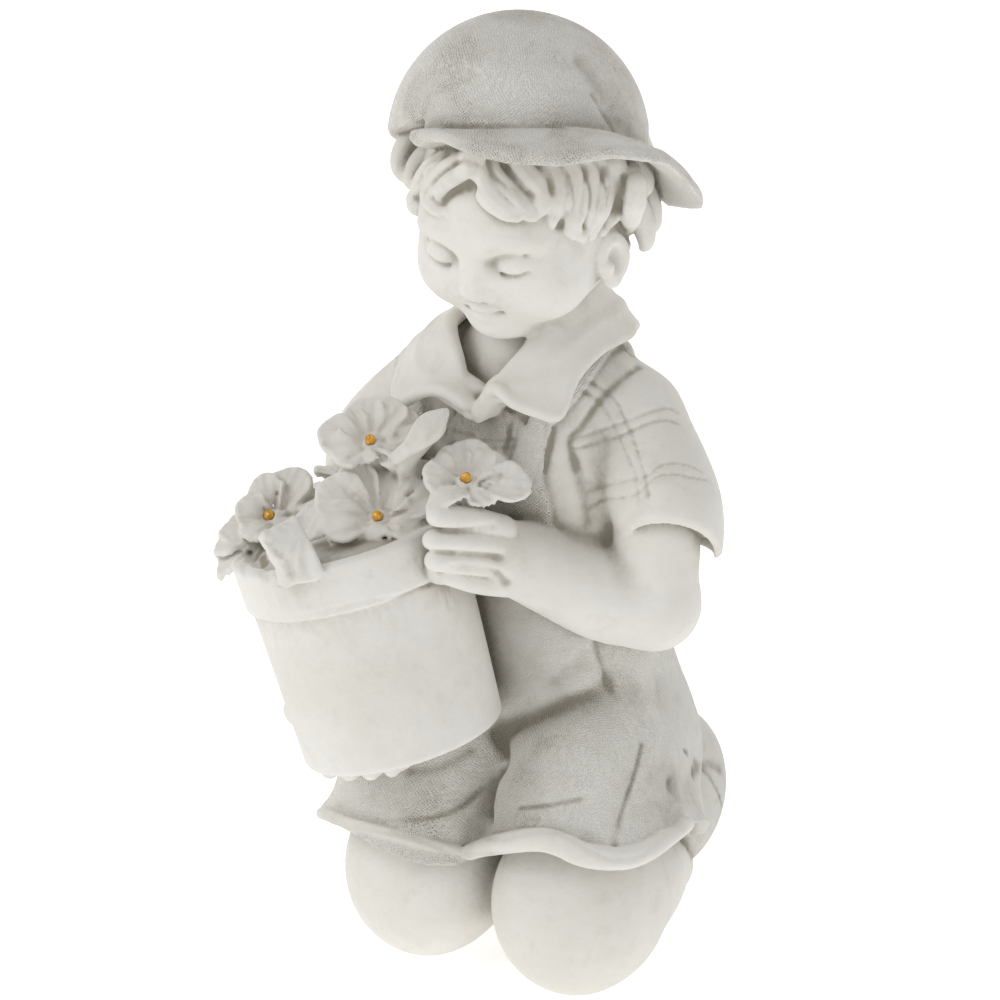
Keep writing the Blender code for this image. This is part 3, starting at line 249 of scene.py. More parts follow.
def tube(points, radii, flat=None, steps=5):
    """A round limb along a curve. flat gives a direction and how many times thinner it is that way."""
    rows = path(np.column_stack([np.array(points, float), np.broadcast_to(radii, len(points))]), steps)
    ends, r = rows[:, :3], np.maximum(rows[:, 3], 0.1)
    parts = [segment(*row, flat) for row in zip(ends, ends[1:], r, r[1:])]

    def distance(x, y, z):
        best = parts[0](x, y, z)
        for part in parts[1:]:
            best = np.minimum(best, part(x, y, z))
        return best

    return (ends - r[:, None]).min(axis=0), (ends + r[:, None]).max(axis=0), distance


def cone(start, end, r0, r1, soft=2.0, wide=1.0, wide_way=(1, 0, 0)):
    """A tapered drum between two points. wide stretches its section along wide_way."""
    start, end = np.array(start, float), np.array(end, float)
    height = np.linalg.norm(end - start)
    rows = axes_of(end - start, wide_way)
    taper = (r1 - r0) / height
    reach = max(r0, r1) * max(wide, 1)

    def distance(x, y, z):
        u, v, w = local(x, y, z, start, rows)
        rim = np.sqrt((u / wide) ** 2 + v * v)
        slope = np.sqrt((u / wide / wide) ** 2 + v * v) / np.maximum(rim, 1e-3)
        side = (rim - (r0 + taper * w)) / np.maximum(slope, 0.3) / math.hypot(1, taper)
        return -blend(-side, -(np.abs(w - height / 2) - height / 2), soft)

    return np.minimum(start, end) - reach, np.maximum(start, end) + reach, distance


def plate(origin, axes, size, outline, height, half, soft=2.0):
    """A thin curved leaf over a plane whose axes are length, width and normal."""
    o = np.array(origin, float)

    def distance(x, y, z):
        u, v, w = local(x, y, z, o, axes)
        return -blend(-(np.abs(w - height(u, v)) - half(u, v)) * 0.9, -outline(u, v), soft)

    return o - size, o + size, distance


def outer_skin(points, quads):
    """Only the largest connected surface, so that no hollow is left sealed inside."""
    label = np.arange(len(points))
    while True:
        new = label.copy()
        least = label[quads].min(axis=1)
        for column in quads.T:
            np.minimum.at(new, column, least)
        new = new[new]
        if (new == label).all():
            break
        label = new
    kept = label == np.bincount(label).argmax()
    number = np.cumsum(kept) - 1
    return points[kept], number[quads[kept[quads[:, 0]]]]


class Clay:
    """A block of cells; each holds the distance to the surface, negative inside, and the finish it belongs to."""

    def __init__(self, cell, low=LOW, high=HIGH):
        self.cell = cell
        self.start = np.floor(np.array(low) / cell).astype(int)
        self.count = np.ceil(np.array(high) / cell).astype(int) - self.start + 1
        self.field = np.full(self.count, FAR, np.float32)
        self.kind = np.zeros(self.count, np.int8)
        self.finish = SKIN

    def window(self, low, high):
        a = np.clip(np.floor(np.array(low) / self.cell).astype(int) - self.start, 0, self.count)
        b = np.clip(np.ceil(np.array(high) / self.cell).astype(int) - self.start + 1, 0, self.count)
        where = tuple(slice(i, j) for i, j in zip(a, b))
        lines = [((np.arange(i, j) + s) * self.cell).astype(np.float32) for i, j, s in zip(a, b, self.start)]
        return where, lines[0][:, None, None], lines[1][None, :, None], lines[2][None, None, :]

    def put(self, where, distance, k):
        field = self.field[where]
        self.kind[where] = np.where(distance < field - 0.2, self.finish, self.kind[where])
        self.field[where] = blend(field, distance, k)

    def add(self, shape, k=3.0, pad=8.0):
        where, x, y, z = self.window(shape[0] - pad, shape[1] + pad)
        self.put(where, shape[2](x, y, z), k)

    def limb(self, points, radii, k=3.0, flat=None, steps=5, cut=False):
        """As add with a tube, worked out only near each length of it."""
        rows = path(np.column_stack([np.array(points, float), np.broadcast_to(radii, len(points))]), steps)
        ends, r = rows[:, :3], np.maximum(rows[:, 3], 0.1)
        pad = r.max() + k + 3
        low, high = ends.min(axis=0) - pad, ends.max(axis=0) + pad
        where, x, y, z = self.window(low, high)
        near = Clay.__new__(Clay)
        near.cell, near.start = self.cell, self.start + [s.start for s in where]
        near.field = np.full([s.stop - s.start for s in where], FAR, np.float32)
        near.count = np.array(near.field.shape)
        for a, b, ra, rb in zip(ends, ends[1:], r, r[1:]):
            part, x, y, z = near.window(np.minimum(a, b) - pad, np.maximum(a, b) + pad)
            near.field[part] = np.minimum(near.field[part], segment(a, b, ra, rb, flat)(x, y, z))
        if cut:
            self.field[where] = -blend(-self.field[where], near.field, k)
        else:
            self.put(where, near.field, k)

    def cut(self, shape, k=2.0, pad=4.0):
        where, x, y, z = self.window(shape[0] - pad, shape[1] + pad)
        self.field[where] = -blend(-self.field[where], shape[2](x, y, z), k)

    def stroke(self, points, width, depth, steps=4):
        """Press a groove along a curve, or raise a ridge where depth is negative."""
        ends = path(points, steps)
        pad = 2.6 * width + self.cell
        where, x, y, z = self.window(ends.min(axis=0) - pad, ends.max(axis=0) + pad)
        near = Clay.__new__(Clay)
        near.cell, near.start = self.cell, self.start + [s.start for s in where]
        near.field = np.full([s.stop - s.start for s in where], 9 * width, np.float32)
        near.count = np.array(near.field.shape)
        for a, b in zip(ends, ends[1:]):
            part, x, y, z = near.window(np.minimum(a, b) - pad, np.maximum(a, b) + pad)
            near.field[part] = np.minimum(near.field[part], segment(a, b, 0.0, 0.0)(x, y, z))
        self.field[where] += (depth * np.exp(-((near.field / width) ** 2))).astype(np.float32)

    def sample(self, points, values=None):
        """Values of the cells at points, mixed from the eight cells round each."""
        values = self.field if values is None else values
        q = np.clip(points / self.cell - self.start, 0, self.count - 1.001)
        i = q.astype(int)
        f = (q - i).astype(np.float32)
        total = 0
        for corner in range(8):
            step = np.array([corner & 1, corner >> 1 & 1, corner >> 2 & 1])
            share = np.prod(np.where(step, f, 1 - f), axis=-1)
            j = i + step
            total = total + share * values[j[..., 0], j[..., 1], j[..., 2]]
        return total

    def seen(self, way, points, steps=6, jump=9.0):
        """Runs of surface points where the lines of sight through a curve first meet the clay."""
        rows = path(points, steps)
        o, d = sight(way, rows[:, 0], rows[:, 1])
        t = np.arange(DISTANCE - 330, DISTANCE + 330, self.cell * 0.8)
        line = o[:, None] + d[:, None] * t[None, :, None]
        q = np.rint(line / self.cell).astype(int) - self.start
        inside = ((q >= 0) & (q < self.count)).all(axis=-1)
        q = np.clip(q, 0, self.count - 1)
        hit = inside & (self.field[q[..., 0], q[..., 1], q[..., 2]] < 0)
        found, first = hit.any(axis=1), np.maximum(hit.argmax(axis=1), 1)
        near, far = t[first - 1] - self.cell, t[first]
        for _ in range(7):
            mid = (near + far) / 2
            below = self.sample(o + d * mid[:, None]) < 0
            near, far = np.where(below, near, mid), np.where(below, mid, far)
        p = o + d * far[:, None]
        runs, run = [], []
        for i in range(len(p)):
            if found[i] and (not run or np.linalg.norm(p[i] - run[-1]) < jump):
                run.append(p[i])
            else:
                runs.append(run)
                run = [p[i]] if found[i] else []
        return [np.array(r) for r in runs + [run] if len(r) > 1]

    def draw(self, way, points, width, depth, steps=6, dash=None):
        """Press a line seen from one side: a groove, or a ridge where depth is negative. dash gives stitches."""
        for run in self.seen(way, points, steps):
            if dash is None:
                self.stroke(run, width, depth, 1)
                continue
            along = np.concatenate([[0], np.cumsum(np.linalg.norm(np.diff(run, axis=0), axis=1))])
            for start in np.arange(0, along[-1], dash):
                s = np.linspace(start, min(start + dash * 0.58, along[-1]), 3)
                self.stroke(np.column_stack([np.interp(s, along, run[:, i]) for i in range(3)]), width, depth, 1)

    def cord(self, way, points, radii, k=1.0, sink=0.4, flat=1.0, steps=6):
        """Lay a rounded lock, fold or lip on the surface along a line seen from one side."""
        for run in self.seen(way, points, steps):
            where = np.linspace(0, 1, len(run))
            r = np.interp(where, np.linspace(0, 1, len(radii)), radii)
            g = self.slope(run)
            run = run - g * (r * sink)[:, None]
            self.limb(run, r, k, (unit(g.mean(axis=0)), flat) if flat > 1 else None, 1)

    def slope(self, points):
        """Unit directions out of the surface at points."""
        e = self.cell * 1.5
        g = np.stack([self.sample(points + s) - self.sample(points - s) for s in np.eye(3) * e], axis=-1)
        return g / np.maximum(np.linalg.norm(g, axis=-1, keepdims=True), 1e-6)

    def cloth(self, base, thickness, clip, k=1.0, soft=1.5):
        """Lay cloth of this thickness over the base, inside the clip shape."""
        where, x, y, z = self.window(clip[0], clip[1])
        cover = -blend(-(base.field[where] - thickness), -clip[2](x, y, z), soft)
        self.put(where, cover, k)

    def join(self, other, k=1.0):
        a = other.start - self.start
        where = tuple(slice(i, i + n) for i, n in zip(a, other.count))
        self.put(where, other.field, k)

    def copy(self):
        twin = Clay.__new__(Clay)
        twin.cell, twin.start, twin.count, twin.field = self.cell, self.start, self.count, self.field.copy()
        return twin


def inside_block(low, high, cell):
    """A smaller block whose corners lie on the same cells."""
    return Clay(cell, np.maximum(low, LOW), np.minimum(high, HIGH))


def softened(values, reach):
    """A block's values averaged over a box, twice."""
    out = values
    for _ in range(2):
        for axis in range(3):
            n = out.shape[axis]
            total = np.cumsum(out, axis=axis, dtype=np.float32)
            high = np.minimum(np.arange(n) + reach, n - 1)
            low = np.arange(n) - reach - 1
            top = np.take(total, high, axis=axis)
            bottom = np.take(total, np.maximum(low, 0), axis=axis)
            shape = [1, 1, 1]
            shape[axis] = n
            bottom = bottom * (low >= 0).reshape(shape)
            out = (top - bottom) / (high - np.maximum(low, -1)).reshape(shape).astype(np.float32)
    return out


def knees_and_feet(clay):
    """Both knees on the ground, the lower legs and the feet under the seat."""
    legs = Clay(clay.cell, LOW, (HIGH[0], HIGH[1], 110))
    for x, y in ((38, -45), (-44, -51)):
        legs.add(ball((x, y, 43), (40, 41, 45)), 8)
        legs.add(tube([(x, y + 12, 42), (x * 0.78, 8, 33), (x * 0.5, 48, 23)], [38, 30, 21]), 8)
        legs.add(ball((x * 0.46, 60, 13), (14, 22, 15)), 5)
    clay.finish = SKIN
    clay.join(legs, 1)


def leg_angle(x, y, centre, long_half, wide_half, turn):
    """The angle round an oval leg from its front, in degrees."""
    s, c = math.sin(math.radians(turn)), math.cos(math.radians(turn))
    dx, dy = x - centre[0], y - centre[1]
    return np.degrees(np.arctan2((dx * c - dy * s) / wide_half, -(dx * s + dy * c) / long_half))


def hem_left(x, y):
    """How high the left sleeve's hem is."""
    return np.clip(151 + 0.55 * x - y, 220, 252)


def hem_right(x, y):
    """How high the right sleeve's hem is."""
    return np.clip(143 - 0.5 * (x + 8) - 0.8 * (y + 9), 214, 242)


def shorts(clay):
    """The legs and seat of the overalls, with flared hems that stand clear of the knees."""
    low, high = (-124, -150, -5), (108, 126, 200)
    cloth = inside_block(low, high, clay.cell)
    legs = (
        # thigh points, radii, middle, long and wide half, turn, top middle and its half width
        (((38, -52, 64), (36, -34, 98), (27, -6, 108), (18, 20, 92)), (38, 42, 42, 36), (36, -16), 69, 40, -17,
         (25, -3, 140), 20),
        (((-44, -58, 60), (-40, -38, 94), (-30, -6, 106), (-22, 22, 90)), (40, 42, 42, 36), (-48, -18), 70, 47, 10,
         (-32, -6, 140), 24),
    )
    for points, radii, middle, long_half, wide_half, turn, top, narrow in legs:
        along = (math.sin(math.radians(turn)), math.cos(math.radians(turn)), 0)
        ratio = long_half / wide_half
        cloth.add(tube(points, radii), 12)
        cloth.add(cone((*middle, 10), (*middle, 88), wide_half + 2, wide_half - 2, 6, ratio, along), 12)
        cloth.add(cone((*middle, 80), top, wide_half - 3, narrow, 6, ratio, along), 14)
    cloth.add(ball((0, 22, 96), (49, 42, 48)), 14)
    _, x, y, z = cloth.window(low, high)
    rows = [np.interp(leg_angle(x, y, middle, long_half, wide_half, turn), *np.array(table, float).T)
            for (_, _, middle, long_half, wide_half, turn, _, _), table in zip(legs, (HEM_LEFT, HEM_RIGHT))]
    hem = np.where(x > -4, rows[0], rows[1])
    flare = (np.where(x > -4, 6.5, 8) * np.exp(-np.clip(z - hem, 0, 60) / 7)).astype(np.float32)
    cloth.field -= flare
    inner = cloth.field + 6
    cloth.field = -blend(-cloth.field, -(hem - z) * 0.8, 3)
    hollow = -blend(-inner, -(z - hem - 9), 3)
    cloth.field = -blend(-cloth.field, hollow, 2)
    for x in (-14, 14):
        cloth.add(ball((x, 62, 56), (31, 41, 44)), 6)
    # The dark fold between the legs and the seam of the seat.
    cloth.stroke([(-2, -96, 70), (0, -84, 96), (4, -68, 122), (8, -52, 140)], 4.5, 8)
    cloth.stroke([(-1, -60, 60), (0, -40, 50), (0, 0, 40)], 8, 12)
    clay.finish = CANVAS
    clay.join(cloth, 7)


def torso(clay):
    """The trunk, the shoulders and the neck."""
    clay.finish = CANVAS
    points = [(0, 16, 100), (0, 2, 132), (0, -9, 168), (0, -15, 204), (0, -20, 240), (0, -22, 272)]
    clay.add(tube(points, [60, 58, 55, 54, 57, 52], flat=((0, 1, 0), 1.28)), 12)
    clay.finish = SHIRT
    clay.kind[clay.window((-80, -80, WAIST), (80, 80, 330))[0]] = SHIRT
    clay.add(tube([(-56, -25, 274), (-28, -24, 286), (0, -22, 292), (28, -20, 288), (50, -17, 278)],
                  [21, 23, 25, 23, 21]), 12)
    clay.finish = SKIN
    clay.add(tube([(1, -24, 296), (3, -34, 336)], [24, 24]), 12)


def arms(clay):
    """Sleeves, upper arms, forearms and the two hands."""
    left = ((48, -17, 279), (62, -22, 258), (73, -26, 243), (76, -27, 226), (75, -28, 210))
    right = ((-55, -25, 276), (-69, -31, 256), (-78, -35, 240), (-80, -35, 222), (-80, -34, 210))
    clay.finish = SHIRT
    for points, radii, hem in ((left, (23, 26, 25.5, 24, 21), hem_left), (right, (24, 28, 29, 27, 24), hem_right)):
        rows = np.array(points, float)
        sleeve = inside_block(rows.min(axis=0) - 50, rows.max(axis=0) + 40, clay.cell)
        sleeve.add(tube(points, radii), 0, 30)
        _, x, y, z = sleeve.window(LOW, HIGH)
        edge = hem(x, y)
        hollow = -blend(-(sleeve.field + 3.8), -(z - edge - 10), 3)
        sleeve.field = -blend(-sleeve.field, -(edge - z) * 0.7, 3)
        sleeve.field = -blend(-sleeve.field, hollow, 2)
        clay.join(sleeve, 6)
    clay.finish = SKIN
    clay.add(tube([(48, -17, 276), (67, -26, 240), (68, -29, 196)], [19, 20, 20.5]), 1)
    clay.add(tube([(-55, -25, 274), (-77, -35, 238), (-80, -34, 196)], [19, 20, 22]), 1)
    # The left forearm rises a little to the hand on the lip of the pot.
    clay.add(tube([(68, -28, 196), (51, -42, 201), (34, -58, 212), (25, -68, 220)], [21.5, 22, 19.5, 17]), 5)
    clay.add(tube([(30, -64, 216), (20, -84, 227)], [17, 17], flat=(unit((0.92, -0.3, 0.1)), 1.6)), 5)
    clay.add(tube([(20, -86, 226), (6, -108, 226)], [12, 9]), 3)
    fingers = (
        ((22, -84, 239), (19, -104, 249), (12, -119, 254)),
        ((24, -82, 230), (20, -105, 239), (11, -121, 243)),
        ((24, -82, 221), (20, -104, 229), (11, -120, 233)),
        ((22, -82, 212), (19, -100, 218), (13, -113, 224)),
    )
    for row, radius in zip(fingers, (6.2, 6.0, 5.8, 5.2)):
        clay.add(tube(row, [radius + 0.8, radius, radius - 0.8]), 0.8)
    # The right forearm goes under the pot, with the hand palm up beneath it.
    clay.add(tube([(-80, -30, 196), (-80, -52, 166), (-68, -80, 132)], [23, 21, 15]), 6)
    clay.add(tube([(-64, -84, 127), (-40, -102, 122)], [15, 14], flat=(unit((0.25, 0.1, 0.96)), 2.2)), 5)
    for x, y, z in ((-54, -115, 113), (-41, -117, 116), (-28, -118, 120), (-16, -117, 124)):
        clay.add(tube([(x + 1, y + 20, z + 5), (x, y + 10, z + 2), (x, y, z)], [5.2, 4.8, 4.4]), 0.8)
    clay.add(tube([(-70, -92, 124), (-76, -108, 134), (-70, -118, 142)], [8, 7, 6]), 3)


def pot(clay):
    """The leaning pot, its band and its lip."""
    clay.finish = POT
    low = POT_BASE
    neck = low + POT_AXIS * POT_BODY
    top = neck + POT_AXIS * POT_BAND
    clay.add(cone(low, neck + POT_AXIS * 4, POT_RADII[0], POT_RADII[1] + 0.4, 4), 1.5)
    clay.add(cone(neck, top, POT_RADII[2] - 1, POT_RADII[2], 3), 0.6)
    clay.cut(cone(top - POT_AXIS * 5, top + POT_AXIS * 12, POT_RADII[2] - 8, POT_RADII[2] - 7, 2), 2)
    clay.finish = FLOWER
    clay.add(ball(top - POT_AXIS * 5, (46, 46, 9), axes_of(POT_AXIS, (1, 0, 0))), 4)
    clay.add(ball((-36, -84, 220), (38, 30, 24)), 8)
    clay.add(ball((-26, -78, 240), (26, 18, 20)), 8)
    clay.add(ball((-70, -90, 222), (24, 20, 17)), 8)


def petal(clay, base, tip, normal, width, arch=0.15, notches=0.0, half=None, veins=4, wave=1.0):
    """A fan-shaped petal or leaf from its base to its tip, with veins pressed along it and a thicker edge."""
    base, tip = np.array(base, float), np.array(tip, float)
    half = LEAF if half is None else half
    length = np.linalg.norm(tip - base)
    out = unit(tip - base)
    n = unit(np.array(normal, float) - np.dot(normal, out) * out)
    rows = np.array([out, np.cross(n, out), n])
    middle, wide = 0.6 * length, width / 2

    def fan(u, v):
        s = np.clip(u / length, 0, 1.1)
        return s, v / (wide * (0.34 + 0.66 * np.clip(u / middle, 0, 1)))

    def radius(u, v):
        _, f = fan(u, v)
        a = np.where(u < middle, (u - middle) / (middle * 1.15), (u - middle) / (0.4 * length))
        return np.sqrt(a * a + f * f), np.arctan2(f, a)

    def outline(u, v):
        r, turn = radius(u, v)
        return (r - 1 - notches * np.cos(5 * turn) * (np.abs(turn) < 1.6)) * min(0.4 * length, wide)

    def height(u, v):
        s, f = fan(u, v)
        lines = sum(np.exp(-(((f - q) / 0.1) ** 2)) for q in np.linspace(-0.6, 0.6, veins))
        return (arch * length * np.sin(np.pi * s) + wave * (np.sin(f * 4.2) * 0.6 + 1.3 * f * f) * s
                - 0.9 * lines * (0.4 + 0.6 * s))

    def edge(u, v):
        r, _ = radius(u, v)
        return half + 0.6 * np.exp(-(((r - 0.93) / 0.12) ** 2))

    clay.add(plate(base, rows, max(length, width) + 6, outline, height, edge, 1.4), 0.5, 2)


def bouquet(clay):
    """The four open flowers petal by petal, the one that hangs over the lip, and the leaves between them."""
    clay.finish = FLOWER
    lines, deep = [], []
    for index, petals in PETALS:
        middle, facing, _, _ = FLOWERS[index]
        middle, facing = np.array(middle, float), unit(facing)
        clay.add(tube([middle - facing * 18, middle - facing * 4], [11, 8]), 4)
        start = aim_back(middle + facing * 2)
        for u, v, forward, width, arch in petals:
            tip = aim(u, v, middle, forward)
            petal(clay, middle - facing * 4.5 + unit(tip - middle) * 2.5, tip, facing + BACK * 0.5, width, arch, 0.03)
            way = np.array([u, v]) - start
            across = np.array([-way[1], way[0]]) / np.linalg.norm(way)
            for side in (-0.3, 0.04, 0.36):
                end = way * (0.86 - 0.25 * abs(side)) + across * side * width * 1.6
                lines.append([start + way * 0.16 + across * side * 8, start + end * 0.55 + across * side * 3,
                              start + end])
        ends = [np.array(row[:2], float) for row in petals]
        ends.sort(key=lambda end: math.atan2(*(end - start)))
        for a, b in zip(ends, ends[1:] + ends[:1]):
            way = (a + b) / 2 - start
            deep.append([start + way * 0.25, start + way * 0.6, start + way * 0.95])
    # A flower seen from its side hangs over the lip at the figure's right.
    root = np.array([-90.0, -110.0, 219.0])
    clay.add(tube([(-74, -98, 216), root], [14, 9]), 4)
    for u, v, forward, width in ((219, 533, -3, 18), (214, 553, 1, 19), (218, 578, 3, 18), (240, 584, 5, 18)):
        petal(clay, root, aim(u, v, root, forward), (-0.3, -0.5, 0.8), width, 0.16, 0.04)
        lines.append([(250, 552), ((250 + u) / 2, (552 + v) / 2 - 1), (u + 6, v - 1)])
    # Leaves: one over the lip in front, one at the upper left, one rolled beside the bib, one by the fingers.
    lip = clay.seen("front", [(284, 572), (286, 574)])[0][0]
    petal(clay, aim(294, 522, lip, -3), aim(275, 586, lip, 4.5), BACK + UP * 0.4, 38, 0.2, 0.09, LEAF + 0.6, 5, 1.8)
    near = FLOWERS[2][0]
    petal(clay, aim(334, 494, near, -6), aim(306, 540, near, 0), BACK + UP * 0.5, 17, 0.2, 0.05)
    petal(clay, aim(352, 520, near, -2), aim(342, 556, near, 5), BACK + UP * 0.4, 16, 0.2, 0.05)
    petal(clay, aim(408, 512, near, -4), aim(424, 540, near, 4), BACK + UP * 0.4, 15, 0.2, 0.05)
    lines += [[(290, 536), (270, 556), (262, 575)], [(292, 538), (280, 560), (276, 576)],
              [(298, 538), (294, 560), (294, 580)], [(304, 536), (308, 552), (310, 568)],
              [(286, 534), (266, 546), (255, 560)]]
    petal(clay, aim(345, 474, (-55, -95, 252), 3), aim(271, 451, (-72, -104, 255), 3), UP * 0.8 + BACK * 0.6, 19, 0.2,
          0.04)
    lines += [[(330, 468), (305, 459), (282, 457)], [(334, 474), (305, 466), (286, 464)]]
    roll = np.array([-13.0, -97.0, 279.0])
    clay.add(tube([(-30, -84, 256), aim(404, 460, roll, -3), aim(424, 438, roll, -3)], [8, 6, 5]), 3)
    petal(clay, aim(396, 463, roll), aim(447, 410, roll, 2), BACK + UP * 0.4 + RIGHT * 0.4, 13, 0.24, 0.06,
          LEAF + 0.9, 3)
    lines += [[(402, 456), (416, 438), (432, 418)], [(410, 459), (424, 444), (442, 424)], [(408, 447), (417, 452)]]
    petal(clay, aim(482, 498, FLOWERS[1][0], 7), aim(426, 513, FLOWERS[1][0], 13), UP + BACK * 0.5, 16, 0.24)
    for base, tip, normal in (((-30, -84, 254), (-66, -66, 256), (-0.2, 0.2, 0.9)),
                              ((-60, -84, 242), (-88, -68, 238), (-0.3, 0.2, 0.9)),
                              ((-20, -76, 258), (-14, -50, 256), (0.1, 0.3, 0.9)),
                              ((-46, -70, 246), (-54, -44, 234), (-0.2, 0.6, 0.8)),
                              ((-72, -76, 232), (-94, -60, 220), (-0.4, 0.6, 0.8)),
                              ((4, -84, 252), (10, -62, 250), (0.2, 0.4, 0.9))):
        petal(clay, base, tip, normal, 24, 0.2)
    deep += [[(262, 556), (265, 566), (267, 577)], [(276, 560), (278, 570), (279, 580)],
             [(290, 562), (292, 572), (293, 582)], [(303, 556), (306, 566), (308, 575)],
             [(402, 452), (412, 443), (420, 436)], [(412, 450), (424, 442), (434, 431)]]
    for line in lines:
        clay.draw("front", line, 0.9, 1.2, 4)
    for line in deep:
        clay.draw("front", line, 1.3, 2.0, 4)
    for index, _ in PETALS:
        middle, facing, _, _ = FLOWERS[index]
        clay.add(ball(np.array(middle) + unit(facing) * 0.6, 4.2), 1)


def head_axes():
    """A way to give places on the bowed head, and its side, forward and up directions."""
    f = np.array([math.sin(HEAD_TURN) * math.cos(HEAD_PITCH), -math.cos(HEAD_TURN) * math.cos(HEAD_PITCH),
                  -math.sin(HEAD_PITCH)])
    side = unit(np.cross(f, (0, 0, 1))) * -1
    up = np.cross(side, f) * -1
    up = up if up[2] > 0 else -up
    return (lambda x, y, z: HEAD + x * side + y * f + z * up), np.array([side, f, up])


def head(clay):
    """Skull, cheeks, chin, nose, lips and eyes, turned and bowed together."""
    at, axes = head_axes()
    clay.finish = SKIN
    clay.add(ball(at(0, -6, 10), (48, 55, 51), axes), 4)
    clay.add(ball(at(0, 12, -12), (41, 36, 31), axes), 12)
    clay.add(ball(at(0, 35, -33), (14, 12, 10), axes), 9)
    for s in (-1, 1):
        clay.add(ball(at(23 * s, 28, -15), (17, 14, 16), axes), 10)
        clay.cut(ball(at(17.5 * s, 52, 4), (11.5, 8.5, 7), axes), 6)
        clay.add(ball(at(17.5 * s, 38.5, 2), (10, 8, 7), axes), 2)
        clay.add(tube([at(7 * s, 44.5, 12), at(18 * s, 44, 16), at(29 * s, 36.5, 12)], [2.4, 2.8, 1.8]), 8)
    clay.add(tube([at(0, 44, 10), at(0, 46.5, -2), at(0, 49.5, -10.5)], [3.6, 4.1, 5.0]), 5)
    for s in (-1, 1):
        clay.add(ball(at(5 * s, 46.5, -13), (3.7, 4.6, 3.5), axes), 2.5)
        clay.cut(ball(at(2.8 * s, 49.5, -16.6), (1.6, 2.2, 1.2), axes), 1)
        # The lowered lid: its fold above and its edge below.
        for rise, drop, width, depth in ((5.6, 2.0, 1.2, 0.9), (-2.4, -2.0, 0.9, 1.5)):
            points = []
            for dx in (-8, -4, 0, 4, 8):
                dz = rise + drop * (1 - (dx / 8) ** 2)
                points.append(at((17.5 + dx) * s, 38.5 + 8 * math.sqrt(max(0.1, 1 - (dx / 10) ** 2 - (dz / 8.2) ** 2)),
                                 2 + dz))
            clay.stroke(points, width, depth)
    clay.add(tube([at(-8.5, 43.5, -23.2), at(-3, 47.2, -21.6), at(0, 46.8, -22), at(3, 47.2, -21.6),
                   at(8.5, 43.5, -23.2)], [1, 2.1, 1.8, 2.1, 1]), 1.5)
    clay.add(tube([at(-7, 44, -25.8), at(0, 46.6, -26.8), at(7, 44, -25.8)], [1, 2.5, 1]), 1.5)
    clay.stroke([at(-9.5, 44.5, -23.4), at(-4, 48.4, -24), at(0, 49, -23.9), at(4, 48.4, -24), at(9.5, 44.5, -23.4)],
                1.0, 1.5)
    return at


def lock(clay, at, points, width):
    """A leaf-shaped lock of hair that lies on the head."""
    rows = [at(*p) for p in points]
    normal = unit(sum(rows) / len(rows) - HEAD)
    radii = [width * s for s in (0.75, 1.0, 0.85, 0.25)[: len(rows)]]
    clay.add(tube(rows, radii, flat=(normal, 1.5)), 0.8)


def tress(clay, points, radii, flat=1.1):
    """A lock of hair laid on the head along a line of the picture, with strands pressed into it."""
    clay.finish = HAIR
    clay.cord("front", points, radii, 0.6, 0.12, flat)
    rows = path(points, 4)
    way = np.gradient(rows, axis=0)
    across = np.column_stack([-way[:, 1], way[:, 0]]) / np.maximum(np.linalg.norm(way, axis=1), 1e-6)[:, None]
    wide = np.interp(np.linspace(0, 1, len(rows)), np.linspace(0, 1, len(radii)), radii)[:, None] * 2.2
    for side in (-0.35, 0.2):
        clay.draw("front", (rows + across * wide * side)[1:-1], 0.9, 1.1, 1)


